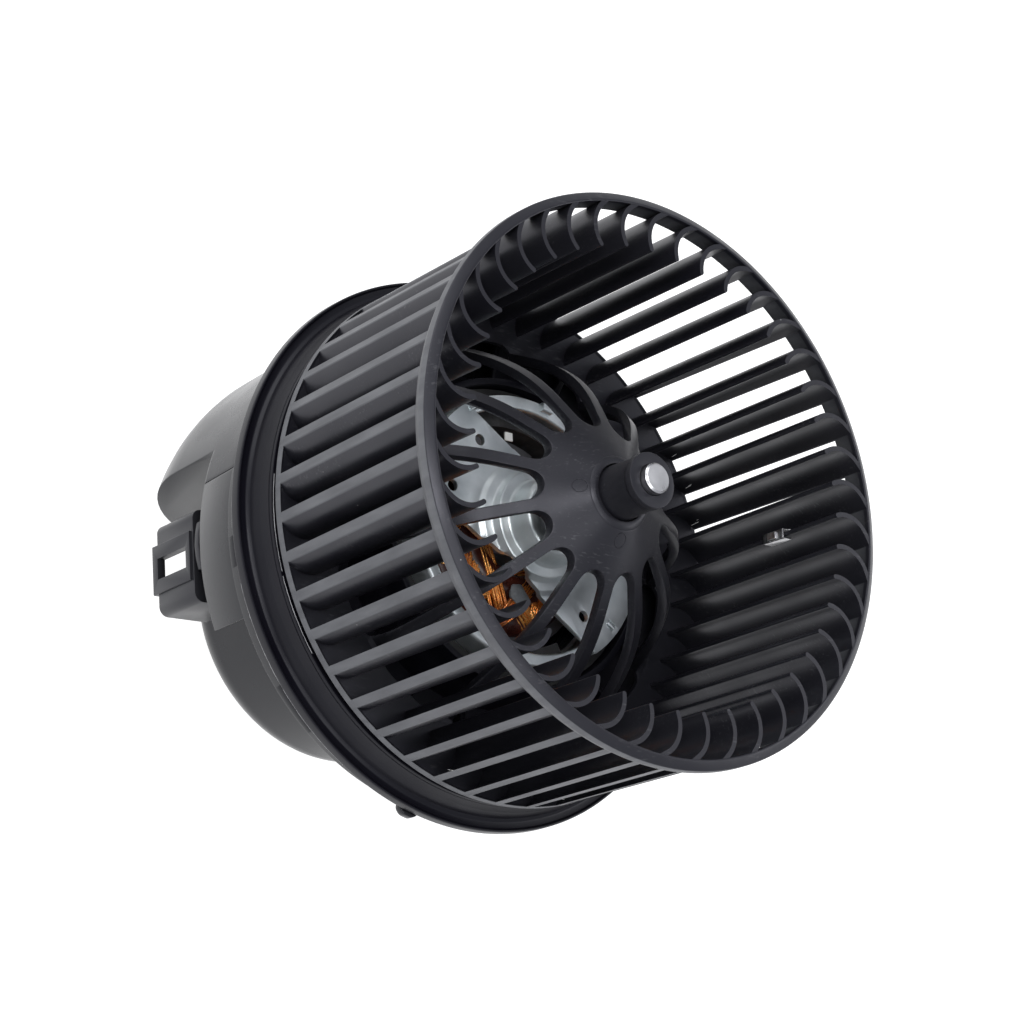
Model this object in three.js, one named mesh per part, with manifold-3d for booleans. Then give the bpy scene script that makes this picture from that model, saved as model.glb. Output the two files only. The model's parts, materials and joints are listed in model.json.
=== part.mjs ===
// Heater blower: a squirrel-cage wheel on the shaft of a brushed motor, held in a flanged housing.
// Millimetres, +Z up along the shaft, origin on the shaft axis in the plane the housing stands on.
// Angles are in degrees about +Z, from +X. The connector points to -Y.
import * as THREE from 'three';
import { mergeVertices } from 'three/addons/utils/BufferGeometryUtils.js';
import Module from 'manifold-3d';

const wasm = await Module();
wasm.setup();
const { Manifold } = wasm;

// ---- driving dimensions ----
const GAP = 0.3;                      // between pieces that touch on the real object
const OVERALL_HEIGHT = 151.3;         // floor to the lip of the wheel's inlet ring
const WHEEL_OUTER_R = 75.5;
const SHAFT_R = 4;
const BLADE_COUNT = 44;
const SPOKE_COUNT = 13;
const HOUSING_CUP_R = 45;
const RIM_R = 76.6;                   // rim of the mounting flange
const CAN_R = 37.4;

// ---- wheel ----
const RING_EDGE_Z = OVERALL_HEIGHT - 1.3;
const RING_WALL_Z = RING_EDGE_Z - 2.3;
const RING_INNER_Z = RING_EDGE_Z - 5.2;
const BLADE_OUTER_R = 73;
const BLADE_TIP_R = 61.3;
const BLADE_TIP_ANGLE = -1.9;         // of the first blade's inner edge
const BLADE_CURVE_R = 8.5;            // each blade is an arc of a circle, concave towards its root
const BLADE_CURVE_CENTRE = [64.3, -8];
const BLADE_CURVE_FROM = 28;          // angle on that circle where the blade turns straight
const BLADE_CURVE_TO = 110.3;         // and at the inner edge
const BLADE_THICKNESS = 1.3;
const BACK_PLATE_TOP = RING_EDGE_Z - 64;
const BACK_PLATE_BOTTOM = BACK_PLATE_TOP - 1.8;
const BACK_PLATE_OUTER_R = 72.2;
const BACK_PLATE_INNER_R = 57;
const HUB_TOP_R = 8.8;
const HUB_TOP_Z = RING_EDGE_Z - 15.3;
const HUB_SLOPE = 0.64;               // fall of the cone near the boss
const HUB_BEND_R = 28;                // the cone starts to curve down here
const HUB_BEND_DROP = 19.5;
const HUB_FOOT_R = 55;
const HUB_THICKNESS = 3;
const BOSS_R = 7.3;
const BOSS_TOP = RING_EDGE_Z - 3.5;
const BOSS_BOTTOM = HUB_TOP_Z - 14;
const BORE_R = SHAFT_R + GAP;
const COUNTERBORE_R = 4.9;
const SPOKE_ANGLE = 3.05;             // of the first spoke
const SPOKE_HALF_WIDTH = 1.5;
const SLOT_INNER_R = 19.7;
const SLOT_CORNER_R = 5;

// ---- motor ----
const SHAFT_TOP = RING_EDGE_Z - 1.2;
const SHAFT_BOTTOM = 12;
const PLATE_TOP = RING_EDGE_Z - 51.3;
const SHEET = 1.5;                    // pressed steel thickness
const CAN_TOP = PLATE_TOP - SHEET - GAP;
const CAN_BOTTOM = 20;
const CAN_WALL = 1.8;
const PLATE_ANGLE = 54;               // long axis of the bridge plate
const PLATE_HALF_WIDTH = 14.4;
const PLATE_WAIST = 11.7;
const PLATE_WAIST_HALF_LENGTH = 12;
const PLATE_END_R = 37.2;
const PLATE_HOLE_R = 27.3;
const CORE_R = 29.5;
const CORE_BOTTOM = 46;
const CORE_TOP = 85;
const CORE_SLOTS = 12;
const CORE_BORE_R = SHAFT_R + GAP;
const CORE_SLOT_HALF_WIDTH = 2.6;
const CORE_SLOT_FLOOR_R = 15;
const COMMUTATOR_R = 11;
const COMMUTATOR_BOTTOM = 26;
const COMMUTATOR_TOP = 36;
const BRUSH_Z = 31;
const BRUSH_CARD_TOP = 27;
const BEARING_R = 8;

// ---- housing ----
const LIP_Z = RING_EDGE_Z - 69;
const LIP_R = 70.9;
const RIM_TOP = RING_EDGE_Z - 76.2;
const RIM_BOTTOM = RING_EDGE_Z - 79.4;
const FLANGE_FLOOR = 74;
const WALL = 2;
const SKIRT_R = 70.4;
const SKIRT_BOTTOM = RING_EDGE_Z - 90;
const HOUSING_TOP = RIM_BOTTOM - GAP;
const WEB_Z = SKIRT_BOTTOM + 4;       // top of the shelf between the cup and the skirt
const LUG_ANGLES = [101.5, 341.5];
const LUG_R = 78;
const ARC_WALL_BOTTOM = RING_EDGE_Z - 104.8;
const ARC_WALL_R = 68.7;
const ARC_WALL_START = 255.6;
const ARC_WALL_END = 289;
const CUP_CORNER_R = 11;
const CUP_FLOOR = 2.4;
const DUCT_START = 150;
const DUCT_END = 247;
const DUCT_SEAM = 255;
const DUCT_R = 68.5;
const DUCT_BEND_Z = 26;
const DUCT_FOOT_R = 50;
const DUCT_BOTTOM = 1.2;

// ---- connector ----
const CONNECTOR_FACE_Y = -66.3;
const CONNECTOR_DEPTH = 15;
const CONNECTOR_WIDTH = 25.5;
const CONNECTOR_MOUTH_Z = RING_EDGE_Z - 129.5;
const CONNECTOR_TOP = 40;
const CONNECTOR_WALL = 1.6;
const TERMINAL_X = [-5, 5];
const TERMINAL_Y = CONNECTOR_FACE_Y + CONNECTOR_DEPTH / 2 + 0.4;

const BALANCE_CLIP_BLADE = 11;        // blade that carries the balance clip

// ---- materials ----
function finish(hex, roughness, metalness = 0) {
  return new THREE.MeshStandardMaterial({ color: hex, roughness, metalness });
}
const FINISH = {
  wheel: finish(0x3a3b3f, 0.5),
  steel: finish(0xb9bcc0, 0.25, 1),
  zinc: finish(0x9aa3a9, 0.4, 0.9),
  copper: finish(0xa4501e, 0.35, 0.9),
  laminations: finish(0x55575a, 0.5, 0.8),
  bronze: finish(0x8a6a42, 0.5, 0.8),
  brass: finish(0xb08d4a, 0.35, 0.9),
  flange: finish(0x26272b, 0.45),
  housing: finish(0x4a4c50, 0.2),
  connector: finish(0x3e4043, 0.5),
  magnet: finish(0x2b2b2d, 0.7),
  card: finish(0x5b3a26, 0.6),
  carbon: finish(0x222222, 0.8),
  rubber: finish(0x1b1b1b, 0.9),
  capacitor: finish(0x1f4f7a, 0.5),
};

const group = new THREE.Group();

// ---- helpers ----
const rad = THREE.MathUtils.degToRad;

function solid(geometry) {
  const plain = geometry.clone();
  plain.deleteAttribute('normal');
  plain.deleteAttribute('uv');
  const merged = mergeVertices(plain, 1e-4);
  return new Manifold(new wasm.Mesh({
    numProp: 3,
    vertProperties: new Float32Array(merged.attributes.position.array),
    triVerts: new Uint32Array(merged.index.array),
  }));
}

function geometryOf(manifold) {
  const mesh = manifold.getMesh();
  const geometry = new THREE.BufferGeometry();
  geometry.setAttribute('position', new THREE.BufferAttribute(mesh.vertProperties, 3));
  geometry.setIndex(new THREE.BufferAttribute(mesh.triVerts, 1));
  return geometry;
}

function add(name, shape, material) {
  const geometry = shape instanceof Manifold ? geometryOf(shape) : shape;
  geometry.computeVertexNormals();
  const mesh = new THREE.Mesh(geometry, material);
  mesh.name = name;
  group.add(mesh);
}

// Turns a (radius, height) outline about the shaft axis. It starts and ends on the axis, or it is closed.
function revolve(outline, segments) {
  const points = outline.map(([r, z]) => new THREE.Vector2(r, z));
  if (outline[0][0] > 0) points.push(points[0].clone());
  if (THREE.ShapeUtils.area(points) < 0) points.reverse();
  return new THREE.LatheGeometry(points, segments).rotateX(Math.PI / 2);
}

function ring(innerR, outerR, bottom, top, segments = 32) {
  return revolve([[innerR, bottom], [outerR, bottom], [outerR, top], [innerR, top]], segments);
}

function disc(radius, bottom, top, segments = 32) {
  return new THREE.CylinderGeometry(radius, radius, top - bottom, segments)
    .rotateX(Math.PI / 2).translate(0, 0, (bottom + top) / 2);
}

function prism(points, bottom, top) {
  const shape = new THREE.Shape(points.map(([x, y]) => new THREE.Vector2(x, y)));
  const geometry = new THREE.ExtrudeGeometry(shape, { depth: top - bottom, bevelEnabled: false });
  return geometry.translate(0, 0, bottom);
}

function block(x0, x1, y0, y1, z0, z1) {
  return new THREE.BoxGeometry(x1 - x0, y1 - y0, z1 - z0)
    .translate((x0 + x1) / 2, (y0 + y1) / 2, (z0 + z1) / 2);
}

function polar(r, degrees) {
  return [r * Math.cos(rad(degrees)), r * Math.sin(rad(degrees))];
}

function arc(cx, cy, r, from, to, steps) {
  const points = [];
  for (let i = 0; i <= steps; i += 1) {
    const [x, y] = polar(r, from + ((to - from) * i) / steps);
    points.push([cx + x, cy + y]);
  }
  return points;
}

// A wedge from one angle to another, for cutting sectors out of rings.
function sector(from, to, innerR, outerR, bottom, top) {
  const steps = Math.max(2, Math.ceil((to - from) / 6));
  return prism([...arc(0, 0, innerR, from, to, steps), ...arc(0, 0, outerR, to, from, steps)], bottom, top);
}

function turned(geometry, degrees) {
  return geometry.clone().rotateZ(rad(degrees));
}

// ---- wheel ----
// One face of a blade: a straight run in from the wheel's outer surface, then an arc to the inner edge.
function bladeSide(radius) {
  const curve = arc(...BLADE_CURVE_CENTRE, radius, BLADE_CURVE_FROM, BLADE_CURVE_TO, 3);
  const [x, y] = curve[0];
  const [cosine, sine] = polar(1, BLADE_CURVE_FROM);
  const along = x * sine - y * cosine;
  const length = Math.sqrt(along ** 2 - x ** 2 - y ** 2 + BLADE_OUTER_R ** 2) - along;
  return [[x + length * sine, y - length * cosine], ...curve];
}

function bladeOutline() {
  const half = BLADE_THICKNESS / 2;
  const tipAngle = BLADE_CURVE_TO + 4;
  const tip = arc(...BLADE_CURVE_CENTRE, BLADE_CURVE_R - half / 2, tipAngle, tipAngle, 1)[0];
  return [...bladeSide(BLADE_CURVE_R + half), tip, ...bladeSide(BLADE_CURVE_R - half).reverse()];
}

// Height of the hub's cone at a radius: straight near the boss, then curving down to the back plate.
function hubHeight(r) {
  const bend = Math.max(0, (r - HUB_BEND_R) / (HUB_FOOT_R - HUB_BEND_R));
  return HUB_TOP_Z - HUB_SLOPE * (r - HUB_TOP_R) - HUB_BEND_DROP * bend ** 2.5;
}

function underHub(r) {
  const slope = (hubHeight(r + 0.1) - hubHeight(r - 0.1)) / 0.2;
  const length = Math.hypot(1, slope);
  return [r + (HUB_THICKNESS * slope) / length, hubHeight(r) - HUB_THICKNESS / length];
}

function hubOutline() {
  return [
    [BORE_R, BOSS_TOP - 3],
    [COUNTERBORE_R, BOSS_TOP - 3],
    [COUNTERBORE_R, BOSS_TOP],
    [BOSS_R - 0.4, BOSS_TOP],
    [BOSS_R + 0.2, HUB_TOP_Z - 0.5],
    [HUB_TOP_R, HUB_TOP_Z - 0.5],
    ...[HUB_TOP_R, 20, 31, 39, 45, 50, HUB_FOOT_R].map((r) => [r, hubHeight(r)]),
    [BACK_PLATE_INNER_R + 2, BACK_PLATE_TOP],
    [BACK_PLATE_INNER_R + 2, BACK_PLATE_BOTTOM],
    [BACK_PLATE_INNER_R - 4.2, BACK_PLATE_BOTTOM],
    ...[50, 42, 32].map(underHub),
    [BOSS_R + 1, underHub(BOSS_R + 3)[1]],
    [BOSS_R + 1, BOSS_BOTTOM],
    [BORE_R, BOSS_BOTTOM],
  ];
}

// The opening between two spokes: a round inner end, straight sides along the spokes, round corners outside.
function spokeSlot() {
  const halfPitch = 180 / SPOKE_COUNT;
  const sine = Math.sin(rad(halfPitch));
  const centre = (SLOT_INNER_R - SPOKE_HALF_WIDTH) / (1 - sine);
  const innerR = centre * sine - SPOKE_HALF_WIDTH;
  const cornerD = BACK_PLATE_INNER_R - SLOT_CORNER_R;
  const cornerSine = (SLOT_CORNER_R + SPOKE_HALF_WIDTH) / cornerD;
  const cornerAngle = halfPitch - THREE.MathUtils.radToDeg(Math.asin(cornerSine));
  const [cx, cy] = polar(cornerD, cornerAngle);
  return [
    ...arc(centre, 0, innerR, 90 + halfPitch, 270 - halfPitch, 4),
    ...arc(cx, -cy, SLOT_CORNER_R, -90 - halfPitch, -cornerAngle, 3),
    ...arc(cx, cy, SLOT_CORNER_R, cornerAngle, 90 + halfPitch, 3),
  ];
}

function fanWheel() {
  const blade = prism(bladeOutline(), BACK_PLATE_TOP - 0.8, OVERALL_HEIGHT - 0.2);
  const blades = [];
  for (let i = 0; i < BLADE_COUNT; i += 1) {
    blades.push(solid(turned(blade, BLADE_TIP_ANGLE + (i * 360) / BLADE_COUNT)));
  }
  const inletRing = revolve([
    [BLADE_OUTER_R, OVERALL_HEIGHT],
    [WHEEL_OUTER_R, RING_EDGE_Z],
    [WHEEL_OUTER_R, RING_WALL_Z],
    [BLADE_OUTER_R + 0.8, RING_INNER_Z],
    [BLADE_OUTER_R - 0.3, RING_INNER_Z],
  ], BLADE_COUNT);
  const backPlate = ring(BACK_PLATE_INNER_R, BACK_PLATE_OUTER_R, BACK_PLATE_BOTTOM, BACK_PLATE_TOP,
    BLADE_COUNT);
  const slot = prism(spokeSlot(), BACK_PLATE_BOTTOM - 1, HUB_TOP_Z);
  let hub = solid(revolve(hubOutline(), 3 * SPOKE_COUNT));
  const cuts = [];
  for (let i = 0; i < SPOKE_COUNT; i += 1) {
    cuts.push(solid(turned(slot, SPOKE_ANGLE + ((i + 0.5) * 360) / SPOKE_COUNT)));
  }
  hub = hub.subtract(Manifold.union(cuts));
  return Manifold.union([...blades, solid(inletRing), solid(backPlate), hub]);
}

// A folded spring-steel clip over the inner edge of one blade.
function balanceClip() {
  const angle = BLADE_TIP_ANGLE + (BALANCE_CLIP_BLADE * 360) / BLADE_COUNT;
  const half = BLADE_THICKNESS / 2 + GAP;
  const outside = half + 0.6;
  const shape = [
    [BLADE_TIP_R - 1.6, -outside], [BLADE_TIP_R + 2, -outside + 0.2], [BLADE_TIP_R + 2, -half + 0.2],
    [BLADE_TIP_R - 1, -half], [BLADE_TIP_R - 1, half], [BLADE_TIP_R + 2, half + 0.4],
    [BLADE_TIP_R + 2, outside + 0.4], [BLADE_TIP_R - 1.6, outside],
  ];
  return turned(prism(shape, 124, 132), angle);
}

// ---- rotor of the motor ----
function shaft() {
  return revolve([
    [0, SHAFT_BOTTOM], [SHAFT_R - 0.6, SHAFT_BOTTOM], [SHAFT_R, SHAFT_BOTTOM + 0.6],
    [SHAFT_R, SHAFT_TOP - 0.9], [SHAFT_R - 0.7, SHAFT_TOP], [0, SHAFT_TOP],
  ], 24);
}

function armatureCore() {
  const core = solid(ring(CORE_BORE_R, CORE_R, CORE_BOTTOM, CORE_TOP, 4 * CORE_SLOTS));
  const cuts = [];
  const slot = block(CORE_SLOT_FLOOR_R, CORE_R - 2, -CORE_SLOT_HALF_WIDTH, CORE_SLOT_HALF_WIDTH,
    CORE_BOTTOM - 1, CORE_TOP + 1);
  const mouth = block(CORE_R - 3, CORE_R + 2, -1, 1, CORE_BOTTOM - 1, CORE_TOP + 1);
  for (let i = 0; i < CORE_SLOTS; i += 1) {
    const angle = (i * 360) / CORE_SLOTS;
    cuts.push(solid(turned(slot, angle)), solid(turned(mouth, angle)));
  }
  return core.subtract(Manifold.union(cuts));
}

// One mass of enamelled wire: a rounded coil head at each end, joined by the bars in the slots.
function armatureWinding() {
  const head = (bottom, top) => solid(revolve([
    [COMMUTATOR_R, bottom + 1], [COMMUTATOR_R + 3, bottom], [CORE_R - 5, bottom + 1],
    [CORE_R - 2.6, bottom + 4], [CORE_R - 3, top], [COMMUTATOR_R, top],
  ], 24));
  const bar = block(CORE_SLOT_FLOOR_R + GAP, CORE_R - 2 - GAP, GAP - CORE_SLOT_HALF_WIDTH,
    CORE_SLOT_HALF_WIDTH - GAP, CORE_BOTTOM - 2, CORE_TOP + 2);
  const rearHead = head(COMMUTATOR_TOP + 1, CORE_BOTTOM - GAP);
  const frontHead = head(-CAN_TOP + 2.4, -CORE_TOP - GAP).mirror([0, 0, 1]);
  const pieces = [rearHead, frontHead];
  for (let i = 0; i < CORE_SLOTS; i += 1) pieces.push(solid(turned(bar, (i * 360) / CORE_SLOTS)));
  return Manifold.union(pieces);
}

function commutator() {
  const body = solid(ring(CORE_BORE_R, COMMUTATOR_R, COMMUTATOR_BOTTOM, COMMUTATOR_TOP, 3 * CORE_SLOTS));
  const cuts = [];
  const groove = block(COMMUTATOR_R - 0.8, COMMUTATOR_R + 1, -0.35, 0.35, COMMUTATOR_BOTTOM - 1,
    COMMUTATOR_TOP + 1);
  for (let i = 0; i < CORE_SLOTS; i += 1) cuts.push(solid(turned(groove, ((i + 0.5) * 360) / CORE_SLOTS)));
  return body.subtract(Manifold.union(cuts));
}

// ---- stator of the motor ----
function motorCan() {
  const pocketR = BEARING_R + GAP + CAN_WALL;
  const floor = CAN_BOTTOM + CAN_WALL;
  const body = solid(revolve([
    [SHAFT_R + 1.5, 11], [pocketR, 11], [pocketR, CAN_BOTTOM], [CAN_R - 3, CAN_BOTTOM],
    [CAN_R, CAN_BOTTOM + 3], [CAN_R, CAN_TOP], [CAN_R - CAN_WALL, CAN_TOP],
    [CAN_R - CAN_WALL, CAN_BOTTOM + 3.6], [CAN_R - 4, floor], [BEARING_R + GAP, floor],
    [BEARING_R + GAP, 12.8], [SHAFT_R + 1.5, 12.8],
  ], 40));
  const leadExit = block(-9, 9, -CAN_R - 2, -CAN_R + 6, BRUSH_CARD_TOP - 4.3, BRUSH_CARD_TOP + 4);
  return body.subtract(solid(leadExit));
}

function frontPlate() {
  const w = PLATE_HALF_WIDTH;
  const waist = PLATE_WAIST;
  const l = PLATE_WAIST_HALF_LENGTH;
  const end = THREE.MathUtils.radToDeg(Math.asin(w / PLATE_END_R));
  const outline = [
    ...arc(0, 0, PLATE_END_R, -end, end, 5),
    [l + 2, w], [l - 1, waist], [-l + 1, waist], [-l - 2, w],
    ...arc(0, 0, PLATE_END_R, 180 - end, 180 + end, 5),
    [-l - 2, -w], [-l + 1, -waist], [l - 1, -waist], [l + 2, -w],
  ];
  const sheet = solid(prism(outline, PLATE_TOP - SHEET, PLATE_TOP));
  const dome = solid(revolve([
    [SHAFT_R + 1.2, 110], [10.4, 109.8], [11.6, 104.6], [14, 103.2], [15, 100.4], [18.4, PLATE_TOP],
    [18.4, PLATE_TOP - SHEET], [13.4, PLATE_TOP - SHEET], [12.4, 101.6], [10, 103.2],
    [BEARING_R + GAP + 0.6, 108.3], [SHAFT_R + 1.2, 108.3],
  ], 24)).intersect(solid(block(-19, 19, -waist, waist, 90, 115)));
  const opening = solid(disc(13, PLATE_TOP - SHEET - 1, PLATE_TOP + 1, 24));
  const holes = [];
  for (const s of [-1, 1]) {
    for (const t of [-1, 1]) {
      const [x, y] = polar(PLATE_HOLE_R, 18.3);
      holes.push(solid(disc(1.9, 90, 110, 12).translate(s * x, t * y, 0)));
    }
  }
  const body = sheet.subtract(opening).add(dome).subtract(Manifold.union(holes));
  return geometryOf(body).rotateZ(rad(PLATE_ANGLE));
}

function bearing(bottom, top) {
  return revolve([
    [SHAFT_R + 0.1, bottom], [BEARING_R - 1.5, bottom], [BEARING_R, bottom + 1.6],
    [BEARING_R, top - 1.6], [BEARING_R - 1.5, top], [SHAFT_R + 0.1, top],
  ], 32);
}

function magnet(centre) {
  return turned(sector(-62, 62, CORE_R + 1.2, CAN_R - CAN_WALL - GAP, 43, 90), centre);
}

// Spring that spreads the two magnets apart at their ends.
function magnetClip(centre) {
  return turned(sector(-20, 20, CAN_R - CAN_WALL - GAP - 1, CAN_R - CAN_WALL - GAP, 50, 84), centre);
}

function brushCard() {
  return ring(COMMUTATOR_R + 2.5, CAN_R - CAN_WALL - GAP - 0.6, BRUSH_CARD_TOP - 2, BRUSH_CARD_TOP, 36);
}

function brushHolder(side) {
  const body = solid(block(13, 26, -4.2, 4.2, BRUSH_CARD_TOP + GAP, BRUSH_CARD_TOP + 8));
  const channel = solid(block(12, 27, -3.3, 3.3, BRUSH_CARD_TOP + GAP + 0.8, BRUSH_CARD_TOP + 7.2));
  return geometryOf(body.subtract(channel)).rotateZ(rad(side));
}

function brush(side) {
  return turned(block(COMMUTATOR_R + GAP, 22, -3, 3, BRUSH_CARD_TOP + GAP + 1.1, BRUSH_CARD_TOP + 6.9), side);
}

class Helix extends THREE.Curve {
  constructor(radius, length, turns) {
    super();
    this.radius = radius;
    this.length = length;
    this.turns = turns;
  }

  getPoint(t, target = new THREE.Vector3()) {
    const a = t * this.turns * 2 * Math.PI;
    return target.set(t * this.length, this.radius * Math.cos(a), this.radius * Math.sin(a));
  }
}

function coil(radius, length, turns, wire, stepsPerTurn) {
  const section = new THREE.Shape(arc(0, 0, wire, 0, 288, 4).map(([x, y]) => new THREE.Vector2(x, y)));
  return new THREE.ExtrudeGeometry(section, {
    steps: Math.round(turns * stepsPerTurn),
    extrudePath: new Helix(radius, length, turns),
    bevelEnabled: false,
  });
}

function brushSpring(side) {
  return coil(1.7, 5.5, 5, 0.3, 8).translate(22.4 + GAP, 0, BRUSH_Z).rotateZ(rad(side));
}

function choke(x, y) {
  return disc(3.2, BRUSH_CARD_TOP + GAP, BRUSH_CARD_TOP + 9, 16).translate(x, y, 0);
}

// ---- housing ----
function mountingFlange() {
  const body = solid(revolve([
    [LIP_R, LIP_Z], [LIP_R + 0.7, LIP_Z - 2.4], [LIP_R + 1.6, LIP_Z - 4.2], [73.6, LIP_Z - 5.2],
    [74.2, RIM_TOP - 0.9], [74.8, RIM_TOP], [RIM_R - 0.3, RIM_TOP], [RIM_R, RIM_TOP - 0.4],
    [RIM_R, RIM_BOTTOM + 0.7], [RIM_R - 1.6, RIM_BOTTOM], [SKIRT_R + 0.6, RIM_BOTTOM],
    [SKIRT_R - 1.4, FLANGE_FLOOR - WALL], [CAN_R + 6, FLANGE_FLOOR - WALL], [CAN_R + 6, WEB_Z + GAP],
    [CAN_R + 4, WEB_Z + GAP], [CAN_R + 4, 93], [CAN_R + 6, 93], [CAN_R + 6, FLANGE_FLOOR],
    [LIP_R - 1.6, FLANGE_FLOOR], [LIP_R - 1.3, LIP_Z],
  ], 48));
  const airSlot = solid(sector(DUCT_START + 18, DUCT_END - 22, 50, 64, FLANGE_FLOOR - 6, FLANGE_FLOOR + 3));
  return body.subtract(airSlot);
}

function cupOutline() {
  const outer = arc(HOUSING_CUP_R - CUP_CORNER_R, CUP_CORNER_R, CUP_CORNER_R, 0, -90, 5);
  const inner = arc(HOUSING_CUP_R - CUP_CORNER_R, CUP_CORNER_R, CUP_CORNER_R - CUP_FLOOR, -90, 0, 4);
  return { outer, inner };
}

function motorHousing() {
  const { outer, inner } = cupOutline();
  const cup = solid(revolve([
    [0, HOUSING_TOP], [SKIRT_R + 0.6, HOUSING_TOP], [SKIRT_R, SKIRT_BOTTOM], [SKIRT_R - WALL, SKIRT_BOTTOM],
    [SKIRT_R - WALL, WEB_Z - WALL], [HOUSING_CUP_R, WEB_Z - WALL], ...outer, [0, 0],
  ], 48));
  const hollow = solid(revolve([
    [0, CUP_FLOOR], ...inner, [HOUSING_CUP_R - CUP_FLOOR, WEB_Z], [SKIRT_R - WALL, WEB_Z],
    [SKIRT_R - WALL + 0.4, HOUSING_TOP + 1], [0, HOUSING_TOP + 1],
  ], 48));
  const arcWall = solid(revolve([
    [SKIRT_R + 0.55, HOUSING_TOP], [ARC_WALL_R, ARC_WALL_BOTTOM], [ARC_WALL_R - WALL, ARC_WALL_BOTTOM],
    [SKIRT_R - WALL + 0.2, HOUSING_TOP],
  ], 48)).intersect(solid(sector(ARC_WALL_START, ARC_WALL_END, 60, 80, 30, 80)));
  const ductSide = solid(sector(DUCT_START - 0.4, ARC_WALL_START, HOUSING_CUP_R + 0.6, 80, -1, 80));
  const window = solid(sector(190, 225, HOUSING_CUP_R - 6, HOUSING_CUP_R + 4, 14, 40));
  const lockSlots = [[271, 278], [304.5, 316]].map(([from, to]) => (
    solid(sector(from, to, SKIRT_R - 0.8, 76, HOUSING_TOP - 5, HOUSING_TOP - 1))));
  const lugs = LUG_ANGLES.map((angle) => (
    solid(turned(sector(-2.5, 2.5, SKIRT_R - 1.2, LUG_R, HOUSING_TOP - 2.6, HOUSING_TOP), angle))));
  return cup.subtract(hollow).subtract(ductSide).subtract(window).add(arcWall).subtract(Manifold.union(lockSlots))
    .add(Manifold.union(lugs));
}

// Scoop that carries cooling air from the flange down to the back of the motor.
function ductCover() {
  const bend = (inset) => {
    const rx = DUCT_R - DUCT_FOOT_R - inset;
    const rz = DUCT_BEND_Z - DUCT_BOTTOM - inset;
    const points = [];
    for (let i = 0; i <= 6; i += 1) {
      const [c, s] = polar(1, (i * 90) / 6);
      points.push([DUCT_FOOT_R + rx * c, DUCT_BEND_Z - rz * s]);
    }
    return points;
  };
  const inside = HOUSING_CUP_R + 0.9;
  const drum = solid(revolve([
    [inside, HOUSING_TOP], [SKIRT_R + 0.6, HOUSING_TOP], ...bend(0), [inside, DUCT_BOTTOM],
  ], 60));
  const hollow = solid(revolve([
    [inside - 3, HOUSING_TOP + 3], [SKIRT_R + 0.6 - WALL, HOUSING_TOP + 3], ...bend(WALL),
    [inside - 3, DUCT_BOTTOM + WALL],
  ], 60)).intersect(solid(sector(DUCT_START + 2, DUCT_END - 2.2, 30, 90, -5, 90)));
  const strip = solid(revolve([
    [SKIRT_R + 0.6, HOUSING_TOP], [ARC_WALL_R, ARC_WALL_BOTTOM], [ARC_WALL_R - WALL, ARC_WALL_BOTTOM],
    [SKIRT_R + 0.6 - WALL, HOUSING_TOP],
  ], 60)).intersect(solid(sector(DUCT_END - 2, DUCT_SEAM, 60, 80, 30, 80)));
  return drum.intersect(solid(sector(DUCT_START, DUCT_END, 40, 80, -5, 90))).subtract(hollow).add(strip);
}

// ---- connector ----
function connectorShell() {
  const w = CONNECTOR_WIDTH / 2;
  const front = CONNECTOR_FACE_Y;
  const back = CONNECTOR_FACE_Y + CONNECTOR_DEPTH;
  const t = CONNECTOR_WALL;
  const c = 2.2;
  const outline = [
    [-w, back], [-w, front + c], [-w + 0.3 * c, front + 0.3 * c], [-w + c, front],
    [w - c, front], [w - 0.3 * c, front + 0.3 * c], [w, front + c], [w, back],
  ];
  const body = solid(prism(outline, CONNECTOR_MOUTH_Z, CONNECTOR_TOP));
  const panel = solid(block(-7.5, 7.5, front - 0.8, front + 1, CONNECTOR_MOUTH_Z - 1.5, CONNECTOR_TOP - 1.5));
  const socket = solid(block(-w + t, w - t, front + t, back - t, CONNECTOR_MOUTH_Z - 3, CONNECTOR_TOP - t));
  const window = solid(block(-2.2, 2.2, front - 2, front + t + 0.5,
    CONNECTOR_MOUTH_Z + 1.5, CONNECTOR_MOUTH_Z + 14));
  const neck = solid(block(-w + 3, w - 3, front + 3.5, back - 1, CONNECTOR_TOP - 0.5, WEB_Z - WALL - GAP));
  const tab = solid(block(-7, 7, front + 0.8, front + 2.2, CONNECTOR_TOP - 0.5, CONNECTOR_TOP + 4));
  const slots = TERMINAL_X.map((x) => solid(block(x - 3.15 - GAP, x + 3.15 + GAP, TERMINAL_Y - 0.4 - GAP,
    TERMINAL_Y + 0.4 + GAP, CONNECTOR_TOP - 5, WEB_Z + 5)));
  return body.add(panel).subtract(socket).subtract(window).add(neck).add(tab)
    .subtract(Manifold.union(slots));
}

function terminal(x) {
  return block(x - 3.15, x + 3.15, TERMINAL_Y - 0.4, TERMINAL_Y + 0.4, CONNECTOR_MOUTH_Z + 4,
    WEB_Z - WALL - GAP);
}

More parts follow.
